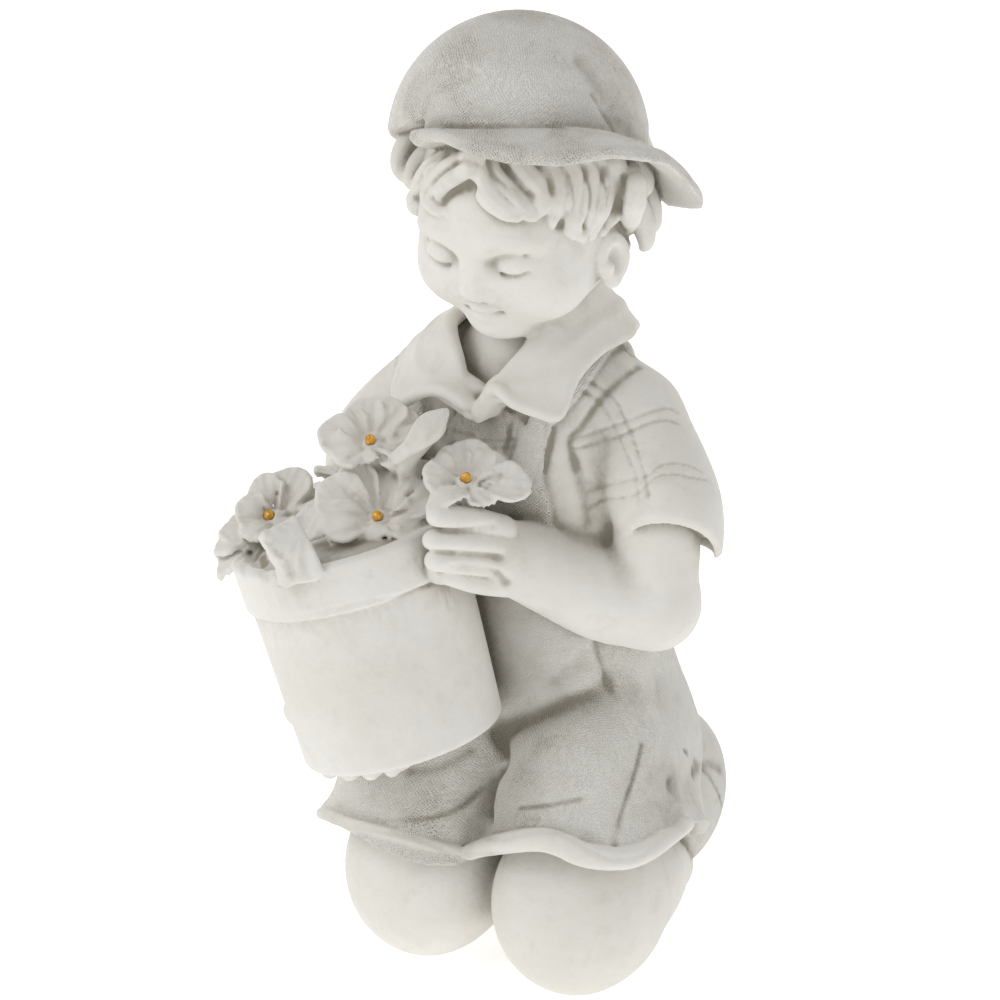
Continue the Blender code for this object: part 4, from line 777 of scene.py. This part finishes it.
def hair(clay, at):
    """Locks from under the cap: thick leaf shapes swept across the brow, plainer ones at the back."""
    clay.finish = HAIR
    clay.add(ball(at(0, -14, 12), (48, 50, 50)), 3)
    for ring, (z0, z1, reach) in enumerate(((34, 2, 50), (14, -22, 48))):
        for i in range(11):
            a = math.radians(88 + i * 18.2 + ring * 9)
            c, s = math.sin(a), math.cos(a)
            x, y = 48 * c, -12 + reach * s
            lock(clay, at, [(x * 0.96, y * 0.96, z0), (x * 1.02, y * 1.02, (z0 + z1) / 2),
                            (x + 3, y * 0.98, z1 + 6), (x * 0.9 + 5, y * 0.9, z1)], 7.5)
    # The tuft that stands out in front of the right temple.
    near = at(-40, 20, 30)
    for points, radii, forward in (
        ([(418, 132), (406, 142), (400, 155), (399, 168), (403, 181)], (3.5, 4.2, 4.2, 3.6, 1.2), 0),
        ([(438, 142), (424, 155), (413, 168), (410, 180), (415, 190)], (4, 4.6, 4.4, 3.4, 1.2), 3),
        ([(428, 138), (416, 150), (411, 164)], (5, 5, 3), -4),
    ):
        rows = [aim(u, v, near, forward) for u, v in points]
        clay.limb(rows, radii, 1.0)
    for points, radii in (
        ([(596, 158), (606, 185), (600, 210), (592, 236)], (5, 6, 5.5, 2)),
        ([(616, 165), (622, 190), (614, 212), (603, 232)], (5, 6, 5, 2)),
        ([(632, 172), (634, 200), (628, 222)], (5, 5.5, 2)),
        ([(636, 184), (632, 212), (626, 236), (615, 256)], (5.5, 6, 5, 2)),
        ([(466, 150), (444, 162), (426, 176), (416, 192), (417, 204)], (5, 6.5, 6.5, 5, 2)),
        ([(512, 156), (527, 176), (540, 190), (541, 205), (530, 218)], (5, 6, 6, 5, 1.5)),
        ([(545, 160), (557, 180), (560, 200), (554, 222)], (5, 6.5, 6.5, 3)),
        ([(564, 160), (575, 182), (577, 206), (572, 226), (584, 240)], (5, 6.5, 6, 5, 1.5)),
        ([(582, 160), (592, 185), (592, 210), (584, 236)], (5, 6, 6, 2)),
        ([(487, 156), (490, 176), (503, 192), (520, 206), (534, 218)], (5, 7, 7, 6, 2)),
        ([(478, 158), (480, 182), (490, 199), (504, 211), (517, 219)], (4, 5.5, 6, 5, 2)),
        ([(476, 156), (455, 168), (436, 184), (430, 197), (436, 207), (446, 211)], (5, 6.5, 6.5, 5.5, 4.2, 1.5)),
        ([(470, 168), (452, 180), (442, 192), (440, 202)], (4, 4.5, 4, 2)),
    ):
        tress(clay, points, radii)
    for points, width, depth in (
        ([(413, 142), (404, 162), (402, 178)], 1.4, 2.2),
        ([(446, 154), (425, 164), (416, 184)], 1.6, 2.4),
        ([(465, 158), (445, 170), (428, 185), (422, 197)], 1.4, 1.6),
        ([(472, 187), (455, 192), (444, 200), (438, 206)], 2.2, 2.6),
        ([(476, 160), (474, 174), (474, 188)], 2.6, 3.4),
        ([(488, 162), (495, 177), (515, 190), (527, 203)], 1.4, 1.8),
        ([(505, 165), (520, 182), (533, 196)], 1.6, 2.0),
        ([(541, 163), (550, 172), (552, 190)], 2.2, 2.8),
        ([(558, 163), (568, 184), (566, 208), (560, 226)], 1.8, 2.4),
        ([(586, 166), (585, 190), (582, 214)], 1.6, 2.2),
        ([(604, 170), (600, 196), (596, 220)], 1.6, 2.2),
        ([(624, 178), (620, 204), (610, 226)], 1.8, 2.4),
    ):
        clay.draw("front", points, width, depth)


def cap(clay):
    """The round cap and its bent peak."""
    axes = axes_of(DOME_AXIS, PEAK_WAY)
    dome = inside_block(DOME_CENTRE - 75, DOME_CENTRE + 75, clay.cell)
    dome.add(ball(DOME_CENTRE, (59, 59, 59), axes), 0, 16)
    dome.cut(cone(DOME_CENTRE - axes[2] * 80, DOME_CENTRE + axes[2] * 3, 100, 100, 2), 4)
    clay.finish = CAP
    clay.join(dome, 1.5)
    # The dome's foot where it stands on the peak.
    foot = cone(DOME_CENTRE - axes[2] * 5, DOME_CENTRE + axes[2] * 9, 57.6, 58.2, 1)
    clay.add((foot[0], foot[1],
              lambda x, y, z: np.maximum(foot[2](x, y, z), 2 - local(x, y, z, DOME_CENTRE, axes)[0])), 0.8)
    angles, drops = np.array(PEAK_EDGE, float).T

    def outline(u, v):
        a, b = (u - 16) / 80, v / 62
        return np.maximum((np.sqrt(a * a + b * b) - 1) * 62, -6 - u)

    def height(u, v):
        r = np.maximum(np.sqrt(u * u + v * v), 1)
        c, s = u / r, v / r
        p, q = (c / 80) ** 2 + (s / 62) ** 2, 16 * c / 80**2
        edge = (q + np.sqrt(q * q + p * 0.96)) / p
        share = np.clip((r - 56) / np.maximum(edge - 56, 4), 0, 1.15)
        return -5 + (np.interp(np.degrees(np.arctan2(s, c)), angles, drops) + 5) * share**1.1

    clay.add(plate(DOME_CENTRE, axes, 112, outline, height, lambda u, v: 3.3 + 0 * u, 3), 0.6)


def collar_and_bib(clay):
    """The open collar over the shirt, the bib of the overalls and its two straps."""
    base = clay.copy()
    clay.finish = CANVAS
    clip = tube([(0, -64, 150), (0, -64, 262)], [52, 27], flat=((0, 1, 0), 0.8))
    clay.cloth(base, 2.2, clip, 1)
    for points in (
        [(19, -66, 248), (27, -66, 280), (33, -50, 302), (32, -20, 316), (26, 4, 302), (18, 18, 276),
         (13, 24, 240), (12, 29, 205), (14, 36, 168)],
        [(-40, -64, 248), (-52, -58, 270), (-60, -46, 290), (-56, -20, 303), (-38, 4, 298), (-20, 18, 276),
         (-13, 24, 240), (-12, 29, 205), (-14, 36, 168)],
    ):
        rows = path(points, 3)
        reach = tube(rows, 12, steps=1)
        clip = (reach[0] - 6, reach[1] + 6, tube(rows, 9.5, steps=1)[2])
        clay.cloth(base, 2.4, clip, 1)
    # The collar rolls over along its upper row of points and ends at the lower row, which curls out.
    clay.finish = SHIRT
    for row in path([upper + lower for upper, lower in COLLAR], 7):
        a, b = row[:3], row[3:]
        m = (a + b) / 2
        clay.add(tube([a - (0, 0, 3), a, m + (0, 0, 0.8), b + (0, 0, 0.8)], [2.8, 2.8, 2.6, 2.6], steps=2), 1.6)
        fill = min(1.0, np.linalg.norm(a - b) / 20)
        clay.add(tube([m + (0, 0, 4 * fill - 5), m * 0.8 + np.array((0, -28, 290)) * 0.2], [4 * fill + 0.5, 6],
                      steps=1), 2)


def ears(clay):
    """Each ear is a tilted cup with a raised rim."""
    at, (side, f, up) = head_axes()
    clay.finish = SKIN
    for s in (-1, 1):
        ear = axes_of(s * side * 0.9 + f * 0.25, up)
        clay.add(ball(at(46.5 * s, 6, -13), (12.5, 9.5, 5), ear), 2.5)
        clay.cut(ball(at(51 * s, 8.5, -12), (8, 5.5, 4.2), ear), 1.5)
        clay.add(ball(at(47.5 * s, 12, -14), (3.2, 2.5, 3), ear), 1.5)
        clay.add(ball(at(46 * s, 9, -22.5), (4.5, 4.5, 4.2), ear), 2)


def dressing(clay):
    """Seams, stitches, plaid lines, rolled hems, folds and creases, laid and pressed in where they show."""
    clay.finish = SHIRT
    clay.cord("front", [(470, 852), (488, 846), (505, 843), (525, 840), (545, 840), (562, 845), (582, 854), (605, 858),
                        (628, 857), (648, 850), (668, 837), (686, 824)], (4.0, 5.6, 6.0, 5.6, 4.0), 1.0, 0.0, 1.7)
    clay.cord("front", [(322, 813), (347, 822), (375, 830), (402, 838), (430, 845), (458, 851)], (3.0, 3.6, 3.0), 0.8,
              0.0, 1.6)
    plaid = (
        [(585, 379), (600, 388), (615, 400), (625, 420), (633, 440), (640, 460), (645, 480), (649, 505)],
        [(580, 390), (597, 400), (608, 415), (618, 435), (628, 458), (635, 475), (638, 500), (640, 515)],
        [(572, 441), (600, 431), (620, 424), (650, 412), (667, 408), (678, 412)],
        [(574, 450), (600, 442), (620, 436), (650, 423), (665, 420), (680, 424)],
        [(585, 495), (600, 488), (625, 481), (645, 477), (660, 466), (675, 463), (690, 466), (703, 472)],
        [(588, 510), (605, 500), (630, 497), (642, 490), (655, 478), (670, 474), (690, 477), (708, 480)],
        [(446, 408), (448, 420), (446, 434)], [(453, 406), (455, 420), (452, 434)], [(461, 412), (462, 424)],
        [(503, 408), (507, 430), (503, 456)], [(511, 410), (510, 432), (508, 458)],
        [(450, 430), (462, 433), (475, 436)],
        [(480, 440), (496, 441), (512, 440)], [(480, 447), (496, 448), (512, 447)],
        [(398, 352), (394, 372), (392, 392)], [(405, 350), (400, 362)],
    )
    for points in plaid:
        clay.draw("front", points, 0.8, 1.3)
    for points, width, depth in (
        # armhole, shoulder seam, sleeve folds and cuff
        ([(640, 366), (625, 376), (609, 391), (597, 405), (582, 427), (570, 442), (577, 469)], 1.8, 1.8),
        ([(574, 460), (582, 490), (586, 508), (588, 522)], 3.4, 1.4),
        ([(621, 346), (633, 355), (645, 361)], 1.2, 1.2),
        ([(606, 440), (603, 465), (602, 486)], 5.0, 0.9),
        ([(648, 494), (630, 515), (617, 532)], 2.2, 1.0),
        # strap and bib
        ([(553, 420), (553, 436), (545, 470), (538, 492)], 1.1, 0.9),
        ([(513, 420), (508, 440), (503, 460), (500, 486)], 1.2, 1.2),
        ([(404, 351), (398, 375), (391, 399)], 1.2, 1.2),
        # hip creases
        ([(508, 730), (530, 720), (560, 706), (590, 695), (606, 686)], 6.0, 2.2),
        ([(556, 682), (574, 670), (588, 660)], 6.0, 1.2),
        ([(500, 712), (530, 702), (560, 690), (590, 680)], 4.5, -1.4),
        # folds over the left thigh, the side seam and the valley behind it
        ([(520, 808), (550, 805), (580, 799)], 1.5, 1.5),
        ([(525, 800), (552, 796), (580, 790)], 3.5, -1.0),
        ([(642, 745), (636, 770), (628, 795), (620, 820), (615, 845)], 1.3, 1.5),
        ([(654, 745), (647, 770), (640, 795)], 3.5, -1.2),
        ([(672, 784), (676, 800), (668, 820)], 4.5, 2.6),
        ([(643, 668), (648, 700), (656, 735)], 5.0, -1.4),
        # right thigh and the dark fold between the legs
        ([(340, 808), (360, 817), (395, 821), (430, 818), (460, 808), (482, 790)], 1.8, 1.4),
        ([(396, 773), (439, 768), (470, 752)], 3.0, 1.2),
        ([(498, 735), (505, 760), (492, 790), (490, 835)], 3.4, 3.4),
        # seat
        ([(685, 750), (705, 770), (718, 790), (725, 811)], 1.4, 1.7),
        ([(694, 772), (710, 764), (722, 770)], 4.0, 1.8),
        # cap
        ([(427, 130), (450, 127), (500, 127), (560, 127), (590, 131), (625, 139), (652, 146)], 1.1, 1.3),
        ([(582, 62), (600, 88), (612, 112), (630, 132)], 6.0, 2.0),
        ([(592, 95), (606, 118), (618, 136)], 1.4, 1.0),
        ([(612, 84), (622, 104), (640, 124)], 5.0, -1.2),
        # pot and hand
        ([(262, 617), (280, 618), (300, 617), (320, 613), (340, 608), (360, 603), (380, 599), (400, 596), (420, 588),
          (430, 585)], 1.0, 1.2),
        ([(430, 529), (452, 531), (474, 529), (495, 526)], 1.6, 1.8),
        ([(430, 551), (459, 553), (488, 555), (502, 559)], 1.6, 1.8),
        ([(452, 568), (470, 567), (495, 572), (507, 584)], 1.8, 2.6),
    ):
        clay.draw("front", points, width, depth)
    for points in (
        [(519, 420), (515, 440), (510, 462), (506, 490)], [(543, 418), (543, 440), (538, 470), (532, 490)],
        [(400, 356), (394, 376), (388, 398)],
        [(325, 813), (348, 823), (373, 829), (405, 835), (427, 842), (450, 852)],
        [(487, 837), (505, 838), (525, 833), (545, 831), (564, 834), (588, 848), (605, 857), (624, 859), (645, 853),
         (662, 834), (678, 824)],
    ):
        clay.draw("front", points, 0.9, 1.4, dash=3.6)


def build_casting(cell):
    """All forms in the order in which they are laid on each other."""
    clay = Clay(cell)
    torso(clay)
    collar_and_bib(clay)
    arms(clay)
    shorts(clay)
    knees_and_feet(clay)
    at = head(clay)
    hair(clay, at)
    ears(clay)
    cap(clay)
    pot(clay)
    bouquet(clay)
    dressing(clay)
    return clay


def casting_mesh(clay, most):
    """The clay's outer surface as a mesh of at most so many triangles, with its finish stored at the points."""
    for middle, facing, _, _ in FLOWERS:
        clay.cut(ball(np.array(middle) + unit(facing) * SOCKET_RISE, SOCKET), 0, 4)
    clay.cut(cone((0, 0, -40), (0, 0, 0), 300, 300, 0), 0, 0)
    grid = openvdb.FloatGrid()
    grid.background = 3.0
    grid.copyFromArray(np.ascontiguousarray(clay.field))
    points, quads = outer_skin(*grid.convertToQuads(isovalue=0.0))
    mesh = bpy.data.meshes.new("casting_block")
    mesh.from_pydata(((points + clay.start) * clay.cell).tolist(), [], quads[:, ::-1].tolist())
    block = bpy.data.objects.new("casting_block", mesh)
    bpy.context.scene.collection.objects.link(block)
    made = block.modifiers.new("Fewer", "DECIMATE")
    made.ratio = min(1.0, most / (2 * len(quads)))
    bpy.context.view_layer.update()
    mesh = bpy.data.meshes.new_from_object(block.evaluated_get(bpy.context.evaluated_depsgraph_get()))
    bpy.data.objects.remove(block)
    p = np.zeros(len(mesh.vertices) * 3)
    mesh.vertices.foreach_get("co", p)
    p = p.reshape(-1, 3)
    near = np.clip(clay.field, -10, 10)
    # Closeness to the surface softened over a narrow box: the material darkens grooves with it, partly real grime and
    # partly painted shade.
    store(mesh, "groove_grime_and_shade", clay.sample(p, softened(near, max(1, round(1.7 / clay.cell)))))
    # The same softened over a wide box: the material paints shade with it in wide hollows and sheltered places, such
    # as beside the pot and under the forearm.
    store(mesh, "painted_shade_field", clay.sample(p, softened(near, max(2, round(5.0 / clay.cell)))))
    for name, wanted in (("weave", (CANVAS, CAP)), ("bare", (SKIN, POT))):
        mask = np.isin(clay.kind, wanted).astype(np.float32)
        store(mesh, name, clay.sample(p, softened(mask, max(1, round(1.0 / clay.cell)))))
    mesh.vertices.foreach_set("co", ((p - ORIGIN) * SHARE).ravel())
    mesh.shade_smooth()
    mesh.update()
    return mesh


def store(mesh, name, values):
    """Keep a value at each point of a mesh for its material."""
    mesh.attributes.new(name, "FLOAT", "POINT").data.foreach_set("value", values.astype(np.float32))


class Nodes:
    """Short ways to add and wire shader nodes."""

    def __init__(self, name):
        self.material = bpy.data.materials.new(name)
        self.material.use_nodes = True
        self.tree = self.material.node_tree
        self.shader = self.tree.nodes["Principled BSDF"]

    def node(self, kind, **values):
        made = self.tree.nodes.new(kind)
        for key, value in values.items():
            setattr(made, key, value)
        return made

    def wire(self, socket, value):
        if isinstance(value, bpy.types.NodeSocket):
            self.tree.links.new(value, socket)
        else:
            socket.default_value = value

    def math(self, operation, *values, clamp=False):
        made = self.node("ShaderNodeMath", operation=operation, use_clamp=clamp)
        for socket, value in zip(made.inputs, values):
            self.wire(socket, value)
        return made.outputs[0]

    def ramp(self, value, low, high, to_low=0.0, to_high=1.0):
        made = self.node("ShaderNodeMapRange", interpolation_type="SMOOTHSTEP")
        for socket, v in zip(made.inputs, (value, low, high, to_low, to_high)):
            self.wire(socket, v)
        return made.outputs[0]

    def mix(self, share, a, b):
        made = self.node("ShaderNodeMix", data_type="RGBA")
        self.wire(made.inputs["Factor"], share)
        self.wire(made.inputs["A"], a)
        self.wire(made.inputs["B"], b)
        return made.outputs["Result"]

    def noise(self, where, scale, detail=3.0, roughness=0.6):
        made = self.node("ShaderNodeTexNoise")
        self.wire(made.inputs["Vector"], where)
        self.wire(made.inputs["Scale"], scale)
        self.wire(made.inputs["Detail"], detail)
        self.wire(made.inputs["Roughness"], roughness)
        return made.outputs["Fac"]

    def stored(self, name):
        return self.node("ShaderNodeAttribute", attribute_name=name).outputs["Fac"]

    def bump(self, height, strength, distance, normal=None):
        made = self.node("ShaderNodeBump")
        self.wire(made.inputs["Strength"], strength)
        self.wire(made.inputs["Distance"], distance)
        self.wire(made.inputs["Height"], height)
        if normal is not None:
            self.wire(made.inputs["Normal"], normal)
        return made.outputs["Normal"]


def weave_pattern(n, where, normal, pitch):
    """Small dimples in wandering rows on whichever of the three main planes the surface faces."""
    drift = n.node("ShaderNodeTexNoise")
    n.wire(drift.inputs["Vector"], where)
    n.wire(drift.inputs["Scale"], 300.0)
    moved = n.node("ShaderNodeVectorMath", operation="MULTIPLY_ADD")
    n.wire(moved.inputs[0], drift.outputs["Color"])
    moved.inputs[1].default_value = (pitch * 1.6,) * 3
    n.wire(moved.inputs[2], where)
    place = n.node("ShaderNodeSeparateXYZ")
    n.wire(place.inputs[0], moved.outputs[0])
    face = n.node("ShaderNodeSeparateXYZ")
    n.wire(face.inputs[0], normal)
    waves = [n.math("SINE", n.math("MULTIPLY", out, math.tau / pitch)) for out in place.outputs]
    shares = [n.math("POWER", n.math("ABSOLUTE", out), 4.0) for out in face.outputs]
    total = None
    for i in range(3):
        dimple = n.math("MULTIPLY", waves[(i + 1) % 3], waves[(i + 2) % 3])
        part = n.math("MULTIPLY", dimple, shares[i])
        total = part if total is None else n.math("ADD", total, part)
    weight = n.math("ADD", n.math("ADD", shares[0], shares[1]), shares[2])
    return n.math("DIVIDE", total, weight)


def stone_material(look):
    """Pale cast stone with grime and painted shade in its hollows and grooves, and a pressed weave on the cap and the
    overalls.
    """
    n = Nodes("Cast stone")
    where = n.node("ShaderNodeTexCoord").outputs["Object"]
    normal = n.node("ShaderNodeNewGeometry").outputs["Normal"]
    weave, bare = n.stored("weave"), n.stored("bare")
    groove_grime_and_shade, painted_shade_field = n.stored("groove_grime_and_shade"), n.stored("painted_shade_field")
    cloud = n.noise(where, 24.0, 4.0)
    smear = n.noise(where, 70.0, 5.0, 0.65)
    grain = n.noise(where, 420.0, 3.0)
    speck = n.noise(where, 900.0, 2.0, 0.7)
    pattern = weave_pattern(n, where, normal, look.weave_pitch)
    # Grooves darken with grime and painted shade, wider hollows with painted shade, more on cloth than on skin.
    # Grooves: partly real grime, partly painted shade, broken up by grain and smears.
    groove = n.ramp(n.math("ADD", groove_grime_and_shade, n.math("MULTIPLY", n.math("SUBTRACT", grain, 0.5), 0.5)), 0.0, -0.95)
    # Painted shade in wide hollows and sheltered places, broken up by smears.
    hollow = n.ramp(n.math("ADD", painted_shade_field, n.math("MULTIPLY", n.math("SUBTRACT", smear, 0.5), 3.0)), 0.6, -3.0)
    dirt_and_shade = n.math("ADD", n.math("MULTIPLY", groove, n.ramp(smear, 0.3, 0.7, 0.45, 1.0)),
                  n.math("MULTIPLY", hollow, 0.85))
    dirt_and_shade = n.math("MULTIPLY", dirt_and_shade, n.ramp(bare, 0.0, 1.0, 1.0, 0.75))
    patch = n.math("MULTIPLY", n.ramp(n.math("ADD", cloud, n.math("MULTIPLY", smear, 0.4)), 0.66, 0.95), weave)
    pits = n.math("MULTIPLY", n.ramp(pattern, 0.0, 0.45), n.ramp(speck, 0.32, 0.54))
    dirt_and_shade = n.math("ADD", dirt_and_shade, n.math("MULTIPLY", patch, n.math("ADD", n.math("MULTIPLY", pits, 1.1), 0.06)))
    dirt_and_shade = n.math("ADD", dirt_and_shade, n.math("MULTIPLY", n.math("SUBTRACT", 1.0, bare), 0.05))
    dirt_and_shade = n.math("ADD", dirt_and_shade, n.math("MULTIPLY", n.ramp(smear, 0.5, 0.8), 0.16))
    dirt_and_shade = n.math("ADD", dirt_and_shade, n.math("MULTIPLY", n.ramp(speck, 0.66, 0.74), 0.12), clamp=True)
    base = n.mix(n.ramp(cloud, 0.3, 0.7), (*look.stone_light, 1), (*look.stone_warm, 1))
    # The stone darkens towards that colour with grime and painted shade.
    n.wire(n.shader.inputs["Base Color"], n.mix(dirt_and_shade, base, (*look.dirt_and_shade, 1)))
    n.wire(n.shader.inputs["Roughness"], n.ramp(grain, 0.2, 0.8, 0.72, 0.92))
    n.shader.inputs["Specular IOR Level"].default_value = 0.35
    first = n.bump(n.math("MULTIPLY", pattern, weave), 0.5, look.weave_depth)
    second = n.bump(grain, 0.35, 0.0006, first)
    n.wire(n.shader.inputs["Normal"], n.bump(n.noise(where, 110.0, 3.0), 0.35, 0.0014, second))
    return n.material


def amber_material(look):
    """Clear amber with darker flecks."""
    n = Nodes("Amber bead")
    where = n.node("ShaderNodeTexCoord").outputs["Object"]
    n.wire(n.shader.inputs["Base Color"],
           n.mix(n.ramp(n.noise(where, 500.0), 0.35, 0.65), (*look.amber_deep, 1), (*look.amber, 1)))
    n.wire(n.shader.inputs["Roughness"], n.ramp(n.noise(where, 900.0), 0.3, 0.7, 0.08, 0.2))
    n.shader.inputs["Coat Weight"].default_value = 0.8
    n.shader.inputs["Metallic"].default_value = 0.35
    n.wire(n.shader.inputs["Normal"], n.bump(n.noise(where, 700.0), 0.5, 0.0008))
    return n.material


def number(name, text, default, **more):
    return bpy.props.FloatProperty(name=name, description=text, default=default, **more)


def colour(name, text, default):
    return bpy.props.FloatVectorProperty(name=name, description=text, default=default, subtype="COLOR", size=3,
                                         min=0.0, max=1.0)


class StatueSizes(bpy.types.PropertyGroup):
    cell: number("Cell", "Edge of one cell of the clay, in thousandths of a metre", 1.05, min=0.8, max=3.0)
    triangles: bpy.props.IntProperty(name="Triangles", description="Most triangles in the casting", default=196000,
                                     min=20000, max=199000)


class StatueFinish(bpy.types.PropertyGroup):
    stone_light: colour("Pale stone", "Colour of the raised, rubbed stone", (0.8, 0.785, 0.745))
    stone_warm: colour("Warm stone", "Colour of the stone's warmer clouds", (0.75, 0.725, 0.67))
    # One colour for the grime in hollows and grooves and for the shade painted there.
    dirt_and_shade: colour("Dirt and shade", "Colour of the dirt in hollows and grooves", (0.33, 0.305, 0.25))
    weave_pitch: number("Weave pitch", "Distance from one dimple of the weave to the next", 0.0015, unit="LENGTH",
                        precision=4)
    weave_depth: number("Weave depth", "Depth of the weave's dimples", 0.001, unit="LENGTH", precision=4)
    amber: colour("Amber", "Colour of the beads in the light", (0.95, 0.55, 0.06))
    amber_deep: colour("Deep amber", "Colour of the beads' darker flecks", (0.62, 0.26, 0.01))


class StatueStudio(bpy.types.PropertyGroup):
    floor: colour("Floor", "Colour of the studio floor and wall", (0.92, 0.92, 0.91))
    key: number("Key light", "Power of the main light", 12.0, unit="POWER")
    fill: number("Fill light", "Power of the soft light from the other side", 5.0, unit="POWER")
    sky: number("Surrounding light", "Strength of the light from all round", 0.46)


class StatueCast(bpy.types.Operator):
    """Model the kneeling boy with his cap, clothes, pot and flowers as one casting"""

    bl_idname = "statue.cast"
    bl_label = "Casting"

    def execute(self, context):
        sizes = context.scene.statue_sizes
        cell = sizes.cell * 1.0
        mesh = casting_mesh(build_casting(cell), sizes.triangles)
        mesh.materials.append(stone_material(context.scene.statue_finish))
        casting = bpy.data.objects.new("casting", mesh)
        context.scene.collection.objects.link(casting)
        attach(casting, "root")
        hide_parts("boy_with_flower_pot")
        return {"FINISHED"}


class StatueBeads(bpy.types.Operator):
    """Give the four beads in the flowers their amber finish"""

    bl_idname = "statue.beads"
    bl_label = "Beads"

    def execute(self, context):
        amber = amber_material(context.scene.statue_finish)
        for i in range(len(FLOWERS)):
            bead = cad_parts[f"flower_bead_{i + 1}"]
            bead.data.materials.clear()
            bead.data.materials.append(amber)
        return {"FINISHED"}


class StatueStage(bpy.types.Operator):
    """Set the floor, the soft lights and the camera"""

    bl_idname = "statue.stage"
    bl_label = "Stage"

    def execute(self, context):
        look = context.scene.statue_studio
        floor_material = Nodes("Studio floor")
        where = floor_material.node("ShaderNodeTexCoord").outputs["Object"]
        pale = tuple(c * 0.98 for c in look.floor)
        floor_material.wire(floor_material.shader.inputs["Base Color"], floor_material.mix(
            floor_material.noise(where, 3.0), (*look.floor, 1), (*pale, 1)))
        floor_material.shader.inputs["Roughness"].default_value = 0.9
        floor_material.shader.inputs["Emission Color"].default_value = (1, 1, 1, 1)
        floor_material.shader.inputs["Emission Strength"].default_value = 0.5
        # The floor runs back and curves up into a wall.
        profile = [(-3.0, 0.0), (2.2, 0.0)]
        profile += [(2.2 + 0.8 * math.sin(a), 0.8 - 0.8 * math.cos(a)) for a in np.linspace(0.1, math.pi / 2, 12)]
        profile += [(3.0, 3.6)]
        turn = np.array([[math.cos(AZIMUTH), math.sin(AZIMUTH)], [-math.sin(AZIMUTH), math.cos(AZIMUTH)]])
        rows = []
        for y, z in profile:
            for x in (-4.0, 4.0):
                rows.append((*(np.array([x, y]) @ turn), z))
        faces = [(i, i + 1, i + 3, i + 2) for i in range(0, len(rows) - 2, 2)]
        mesh = bpy.data.meshes.new("studio_floor")
        mesh.from_pydata(rows, [], faces)
        mesh.shade_smooth()
        mesh.materials.append(floor_material.material)
        floor = bpy.data.objects.new("studio_floor", mesh)
        context.scene.collection.objects.link(floor)
        world = bpy.data.worlds.new("Studio")
        world.use_nodes = True
        background = world.node_tree.nodes["Background"]
        background.inputs["Color"].default_value = (1, 1, 1, 1)
        background.inputs["Strength"].default_value = look.sky
        context.scene.world = world
        middle = Vector((0.0, 0.0, 0.24))
        for name, power, size, place in (
            ("Key light", look.key, 1.1, (-0.9, -1.3, 1.5)),
            ("Fill light", look.fill, 1.6, (1.9, -0.6, 0.9)),
            ("Back light", look.fill, 1.2, (0.2, 1.6, 1.6)),
        ):
            data = bpy.data.lights.new(name, "AREA")
            data.energy, data.size = power, size
            light = bpy.data.objects.new(name, data)
            light.location = place
            light.rotation_euler = (middle - light.location).to_track_quat("-Z", "Y").to_euler()
            context.scene.collection.objects.link(light)
        data = bpy.data.cameras.new("Camera")
        data.sensor_width, data.lens = 36.0, FOCUS * 36.0 / (2 * MIDDLE)
        data.clip_start, data.clip_end = 0.05, 20.0
        camera = bpy.data.objects.new("Camera", data)
        camera.location = (EYE - ORIGIN) * SHARE
        camera.rotation_euler = Vector(BACK).to_track_quat("Z", "Y").to_euler()
        context.scene.collection.objects.link(camera)
        context.scene.camera = camera
        context.scene.view_settings.view_transform = "Standard"
        return {"FINISHED"}


class StatuePanel(bpy.types.Panel):
    """Sizes, finishes and steps of the statue"""

    bl_idname = "VIEW3D_PT_statue"
    bl_label = "Statue"
    bl_space_type = "VIEW_3D"
    bl_region_type = "UI"
    bl_category = "Statue"

    def draw(self, context):
        for group in (context.scene.statue_sizes, context.scene.statue_finish, context.scene.statue_studio):
            for key in group.__annotations__:
                self.layout.prop(group, key)
        for step in OPERATORS:
            self.layout.operator(step.bl_idname)


OPERATORS = (StatueCast, StatueBeads, StatueStage)
GROUPS = {"statue_sizes": StatueSizes, "statue_finish": StatueFinish, "statue_studio": StatueStudio}


def register():
    for kind in (*GROUPS.values(), *OPERATORS, StatuePanel):
        bpy.utils.register_class(kind)
    for name, kind in GROUPS.items():
        setattr(bpy.types.Scene, name, bpy.props.PointerProperty(type=kind))


def unregister():
    for name in GROUPS:
        delattr(bpy.types.Scene, name)
    for kind in reversed((*GROUPS.values(), *OPERATORS, StatuePanel)):
        bpy.utils.unregister_class(kind)


def main():
    register()
    bpy.ops.statue.cast()
    bpy.ops.statue.beads()
    bpy.ops.statue.stage()


if __name__ == "__main__":
    main()
